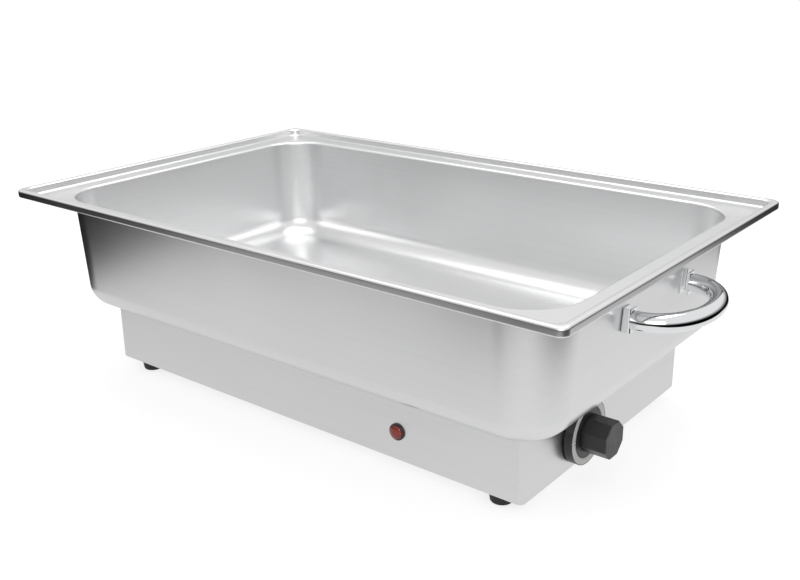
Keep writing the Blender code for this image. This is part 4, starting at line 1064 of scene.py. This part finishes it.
def make_lamp():
    """The lamp's flanged body and its domed lens."""
    pocket = LAMP_FLANGE_RADIUS - LAMP_RIM
    front = LAMP_FLANGE_THICKNESS
    floor = front - LAMP_POCKET
    socket = LAMP_BARREL_RADIUS - LAMP_RIM
    body_section = round_corners(
        [
            (0, floor), (socket, floor), (socket, PIECE_GAP), (pocket, PIECE_GAP), (pocket, front),
            (LAMP_FLANGE_RADIUS, front), (LAMP_FLANGE_RADIUS, 0), (LAMP_BARREL_RADIUS, 0),
            (LAMP_BARREL_RADIUS, -LAMP_LENGTH), (0, -LAMP_LENGTH),
        ],
        [0, 0, 0, 0, LENS_GAP, LAMP_FLANGE_EDGE, 0, 0, 0, 0],
    )
    place = (LAMP_X, -BASE_HALF_Y - PIECE_GAP, LAMP_Z)
    body = turned_piece("lamp_body", body_section, place, FRONTWARD)
    dress(body, "dish", "black_plastic", ["indicator_body"])
    radius = pocket - LENS_GAP
    stem = socket - LENS_GAP
    seat = PIECE_GAP + LENS_GAP
    dome = []
    for step in range(2 * BEND_STEPS):
        angle = math.pi / 2 * step / (2 * BEND_STEPS)
        dome.append((radius * math.sin(angle), front + LENS_DOME * math.cos(angle)))
    bottom = floor + LENS_GAP
    lens_section = dome + [(radius, front), (radius, seat), (stem, seat), (stem, bottom), (0, bottom)]
    lens = turned_piece("lamp_lens", lens_section, place, FRONTWARD)
    dress(lens, "dish", "red_lens", ["indicator_lens"])


# Cord gland


def gland_nose():
    """The tapered nose's outer side with its ring grooves, from its end to the flange."""
    end = GLAND_FLANGE_THICKNESS + GLAND_NOSE_LENGTH
    pitch = GLAND_NOSE_LENGTH / (GLAND_GROOVES + 1)
    slope = (GLAND_NOSE_RADIUS - GLAND_NOSE_END_RADIUS) / GLAND_NOSE_LENGTH
    points, radii = [(GLAND_NOSE_END_RADIUS, end)], [GLAND_EDGE]
    for groove in range(GLAND_GROOVES):
        for shift, depth in GLAND_GROOVE_SHARES:
            height = end - pitch * (groove + shift)
            radius = GLAND_NOSE_END_RADIUS + slope * (end - height)
            points.append((radius - depth * GLAND_GROOVE_DEPTH, height))
            radii.append(GLAND_GROOVE_EDGE)
    return points, radii


def make_gland():
    nose, nose_radii = gland_nose()
    flange = GLAND_FLANGE_THICKNESS
    points = [(GLAND_BORE, flange + GLAND_NOSE_LENGTH)] + nose
    points += [(GLAND_NOSE_RADIUS, flange), (GLAND_FLANGE_RADIUS, flange)]
    points += [(GLAND_FLANGE_RADIUS, 0), (GLAND_THREAD_RADIUS, 0)]
    points += [(GLAND_THREAD_RADIUS, -GLAND_THREAD_LENGTH), (GLAND_BORE, -GLAND_THREAD_LENGTH)]
    radii = [GLAND_EDGE] + nose_radii + [GLAND_EDGE, 2 * GLAND_EDGE, 0, 0, 0, 0]
    place = (GLAND_X, BASE_HALF_Y + PIECE_GAP, GLAND_Z)
    gland = turned_piece("ribbed_gland", round_corners(points, radii), place, REARWARD)
    dress(gland, "dish", "black_plastic", ["cord_gland"])


# Handles


def wall_x(z):
    """Where the pan's end wall has its outer face."""
    return OPENING_HALF_X - wall_inward(z, PAN_SHEET)


BRACKET_OUTER_X = wall_x(HANDLE_Z) + BRACKET_DEPTH


def make_tube_tree():
    """A round tube along a route."""
    inputs = [("Tube Radius", FLOAT, 0.0), ("Sides", "NodeSocketInt", 16)]
    inputs += [("Finish", "NodeSocketMaterial", None)]
    tree, given, end = new_geometry_tree("tube_along_route", inputs)
    route = add_node(tree, "GeometryNodeMeshToCurve", {"Mesh": given["Geometry"]})
    sockets = {"Resolution": given["Sides"], "Radius": given["Tube Radius"]}
    circle = add_node(tree, "GeometryNodeCurvePrimitiveCircle", sockets)
    sockets = {"Curve": route.outputs[0], "Profile Curve": circle.outputs[0], "Fill Caps": True}
    tube = add_node(tree, "GeometryNodeCurveToMesh", sockets)
    close_tree(tree, end, tube.outputs[0], given["Finish"])
    return tree


def handle_route():
    """The bow's middle line on the right: half an ellipse between two short straight leads."""
    start = BRACKET_OUTER_X + PIECE_GAP
    bow_start = start + HANDLE_LEAD
    depth = wall_x(HANDLE_Z) + HANDLE_REACH - HANDLE_RADIUS - bow_start
    route = [(start, -HANDLE_HALF_SPREAD)]
    for step in range(BOW_STEPS + 1):
        angle = math.pi * step / BOW_STEPS
        route.append((bow_start + depth * math.sin(angle), -HANDLE_HALF_SPREAD * math.cos(angle)))
    route.append((start, HANDLE_HALF_SPREAD))
    return route


def make_handle(name, side, node, tree):
    """A chrome tube bent to a bow between its brackets."""
    route = handle_route()
    mesh = bpy.data.meshes.new(name)
    edges = [(i, i + 1) for i in range(len(route) - 1)]
    mesh.from_pydata([(side * x, y, HANDLE_Z) for x, y in route], edges, [])
    handle = add_object(name, mesh)
    sizes = {
        "Tube Radius": HANDLE_RADIUS,
        "Sides": SMALL_TURN_STEPS,
        "Finish": FINISHES["polished_steel"],
    }
    run_tree(handle, tree, sizes)
    dress(handle, "dish", "polished_steel", [node], even=False)


def make_bracket(number, side, end):
    """A strip folded to a C, open towards the middle of the handle, with one leg on the wall."""
    outer = BRACKET_OUTER_X
    inner = wall_x(HANDLE_Z)
    half_width = HANDLE_RADIUS - BRACKET_SETBACK
    web = HANDLE_HALF_SPREAD + half_width
    tip = HANDLE_HALF_SPREAD - half_width
    bend = BRACKET_BEND
    path = [(outer, tip)]
    path += arc((outer - bend, web - bend), bend, 0, 90, BEND_STEPS)
    path += arc((inner + bend, web - bend), bend, 90, 180, BEND_STEPS)
    path.append((inner, tip))
    shape = bmesh.new()
    rows = []
    for z in (HANDLE_Z - BRACKET_HEIGHT / 2, HANDLE_Z + BRACKET_HEIGHT / 2):
        lean = wall_x(z) - inner
        row = []
        for x, y in path:
            share = (outer - x) / (outer - inner)
            row.append(shape.verts.new((side * (x + lean * share), end * y, z)))
        rows.append(row)
    for i in range(len(path) - 1):
        face = [rows[0][i], rows[0][i + 1], rows[1][i + 1], rows[1][i]]
        if side * end < 0:
            face.reverse()
        shape.faces.new(face)
    name = f"folded_bracket_{number}"
    bracket = add_object(name, new_mesh(name, shape))
    thicken(bracket, BRACKET_SHEET)
    round_edges(bracket, BRACKET_EDGE)
    settle(bracket)
    dress(bracket, "dish", "polished_steel", [f"handle_bracket_{number}"])


def make_handles():
    tree = make_tube_tree()
    make_handle("bent_handle_right", 1, "handle_right", tree)
    make_handle("bent_handle_left", -1, "handle_left", tree)
    for number, (side, end) in enumerate([(1, -1), (1, 1), (-1, 1), (-1, -1)], 1):
        make_bracket(number, side, end)


# Pieces inside the base


def finish_inner_pieces():
    """Every CAD node gets the finish of its slot in the record."""
    for row in frame["record"]["subparts"]:
        node = frame["nodes"][row["node"]]
        finish = FINISHES[row["material_slot"]]
        if not node.material_slots:
            node.data.materials.append(finish)
        for place in node.material_slots:
            place.material = finish


# Studio

CAMERA_PLACE = (0.54411, -0.66229, 0.39567)
CAMERA_RIGHT = (0.78423, 0.62037, -0.01082)
CAMERA_UP = (-0.20154, 0.27119, 0.94119)
CAMERA_FORWARD = (-0.58682, 0.73593, -0.33771)
CAMERA_LENS = 45.899
CAMERA_SENSOR = 36.0
CAMERA_CLIP = (0.01, 20.0)
WHITE = (1, 1, 1, 1)
FLOOR_SIDE = 12.0
FLOOR_THICKNESS = 0.02
FLOOR_GAP = 0.0002
FLOOR_TONE = 0.80
FLOOR_GLOW = 0.72
FLOOR_SHADE_TONE = 0.36
# Painted reflection: a white tabletop that the floor shows to glossy rays only, brighter towards +X
REFLECTED_TABLE_X = (-0.40, 0.50)
REFLECTED_TABLE_Y = (-0.46, 0.48)
REFLECTED_TABLE_SOFT_X = 0.06
REFLECTED_TABLE_SOFT_Y = 0.14
REFLECTED_TABLE_RISE_X = (0.05, 0.30)
REFLECTED_TABLE_LEVELS = (0.78, 0.86)
# Painted dark patch in the floor's reflection, at the front edge of the tabletop
REFLECTED_DARK_X = (0.02, 0.14)
REFLECTED_DARK_Y = (-0.75, -0.46)
REFLECTED_DARK_SOFT = 0.07
REFLECTED_DARK_LEVEL = 0.12
ROOM_RISE = (0.03, 0.30)
ROOM_LEVELS = (0.10, 1.10)
SOFTBOXES = {
    "softbox_above": {
        "place": (-0.1, 0.25, 1.35), "target_z": 0.1, "width": 1.3, "height": 1.0, "power": 9.0,
    },
    "softbox_right_front": {
        "place": (0.85, -0.95, 0.62), "target_z": 0.08, "width": 0.9, "height": 0.6, "power": 4.0,
    },
}


def make_camera():
    data = bpy.data.cameras.new("camera")
    data.lens = CAMERA_LENS
    data.sensor_width = CAMERA_SENSOR
    data.clip_start, data.clip_end = CAMERA_CLIP
    camera = bpy.data.objects.new("camera", data)
    bpy.context.scene.collection.objects.link(camera)
    back = -Vector(CAMERA_FORWARD)
    turn = Matrix((CAMERA_RIGHT, CAMERA_UP, back)).transposed().to_4x4()
    camera.matrix_world = Matrix.Translation(CAMERA_PLACE) @ turn
    bpy.context.scene.camera = camera


def light_path_share(tree, *outputs):
    """1 for the kinds of ray named, and 0 for others."""
    path = tree.nodes.new("ShaderNodeLightPath").outputs
    share = path[outputs[0]]
    for name in outputs[1:]:
        share = calculate(tree, "MAXIMUM", share, path[name])
    return share


def band(tree, value, limits, soft):
    """1 between two limits and 0 outside them, with soft edges of a width."""
    low, high = limits
    rise = remap(tree, value, low - soft, low)
    fall = remap(tree, value, high + soft, high)
    return calculate(tree, "MINIMUM", rise, fall)


def patch(tree, across, along):
    """1 on a rectangle of the floor and 0 round it. Each side is a value, its limits and softness."""
    return times(tree, band(tree, *across), band(tree, *along))


def make_floor():
    """A white floor that keeps the dish's soft shadow.

    In the steel it shows a painted reflection, for glossy rays only: a white tabletop, brighter towards
    +X, with a painted dark patch at its front edge.
    """
    mesh = box_mesh("floor", (FLOOR_SIDE, FLOOR_SIDE, FLOOR_THICKNESS))
    mesh.transform(Matrix.Translation((0, 0, -FLOOR_THICKNESS / 2 - FLOOR_GAP)))
    floor = add_object("floor", mesh)
    material = bpy.data.materials.new("floor")
    material.use_nodes = True
    tree = material.node_tree
    tree.nodes.clear()
    place = tree.nodes.new("ShaderNodeTexCoord").outputs["Object"]
    tone = (FLOOR_TONE, FLOOR_TONE, FLOOR_TONE, 1)
    matte = add_node(tree, "ShaderNodeBsdfDiffuse", {"Color": tone}).outputs[0]
    glow = add_node(tree, "ShaderNodeEmission", {"Color": WHITE, "Strength": FLOOR_GLOW}).outputs[0]
    shade = (FLOOR_SHADE_TONE, FLOOR_SHADE_TONE, FLOOR_SHADE_TONE, 1)
    lit = add_node(tree, "ShaderNodeBsdfDiffuse", {"Color": shade}).outputs[0]
    seen = add_node(tree, "ShaderNodeAddShader", {0: glow, 1: lit}).outputs[0]
    x, y = add_node(tree, "ShaderNodeSeparateXYZ", {0: place}).outputs[:2]
    # Painted reflection of a white tabletop for glossy rays, brighter towards +X
    reflected_table = patch(tree, (x, REFLECTED_TABLE_X, REFLECTED_TABLE_SOFT_X), (y, REFLECTED_TABLE_Y, REFLECTED_TABLE_SOFT_Y))
    # Painted dark patch in the reflection, at the front edge of the tabletop
    reflected_dark = patch(tree, (x, REFLECTED_DARK_X, REFLECTED_DARK_SOFT), (y, REFLECTED_DARK_Y, REFLECTED_DARK_SOFT))
    top = times(tree, reflected_table, remap(tree, x, *REFLECTED_TABLE_RISE_X, *REFLECTED_TABLE_LEVELS))
    level = remap(tree, reflected_dark, 0.0, 1.0, top, REFLECTED_DARK_LEVEL)
    mirrored = add_node(tree, "ShaderNodeEmission", {"Strength": level}).outputs[0]
    glossy = light_path_share(tree, "Is Glossy Ray", "Is Transmission Ray")
    camera = light_path_share(tree, "Is Camera Ray")
    first = add_node(tree, "ShaderNodeMixShader", {0: glossy, 1: matte, 2: mirrored}).outputs[0]
    last = add_node(tree, "ShaderNodeMixShader", {0: camera, 1: first, 2: seen}).outputs[0]
    add_node(tree, "ShaderNodeOutputMaterial", {"Surface": last})
    mesh.materials.append(material)


def make_world():
    """White behind the dish. For reflections, a dim band at the horizon and a bright room above."""
    world = bpy.data.worlds.new("studio")
    world.use_nodes = True
    bpy.context.scene.world = world
    tree = world.node_tree
    tree.nodes.clear()
    direction = tree.nodes.new("ShaderNodeTexCoord").outputs["Generated"]
    split = add_node(tree, "ShaderNodeSeparateXYZ", {0: direction})
    level = remap(tree, split.outputs["Z"], *ROOM_RISE, *ROOM_LEVELS)
    room = add_node(tree, "ShaderNodeBackground", {"Strength": level}).outputs[0]
    white = add_node(tree, "ShaderNodeBackground", {"Color": WHITE, "Strength": 1.0}).outputs[0]
    camera = light_path_share(tree, "Is Camera Ray")
    mixed = add_node(tree, "ShaderNodeMixShader", {0: camera, 1: room, 2: white}).outputs[0]
    add_node(tree, "ShaderNodeOutputWorld", {"Surface": mixed})


def add_softbox(name, place, target_z, width, height, power):
    light = bpy.data.lights.new(name, "AREA")
    light.shape = "RECTANGLE"
    light.size = width
    light.size_y = height
    light.energy = power
    softbox = bpy.data.objects.new(name, light)
    bpy.context.scene.collection.objects.link(softbox)
    aim = Vector((0, 0, target_z)) - Vector(place)
    turn = aim.to_track_quat("-Z", "Y").to_matrix().to_4x4()
    softbox.matrix_world = Matrix.Translation(place) @ turn


def make_studio():
    make_camera()
    make_floor()
    make_world()
    for name, values in SOFTBOXES.items():
        add_softbox(name, **values)
    bpy.context.scene.view_settings.view_transform = "Standard"


finish_inner_pieces()
make_water_pan()
make_base_housing()
make_bottom_cover()
make_feet()
make_screws()
make_dial()
make_grip()
make_lamp()
make_gland()
make_handles()
make_studio()
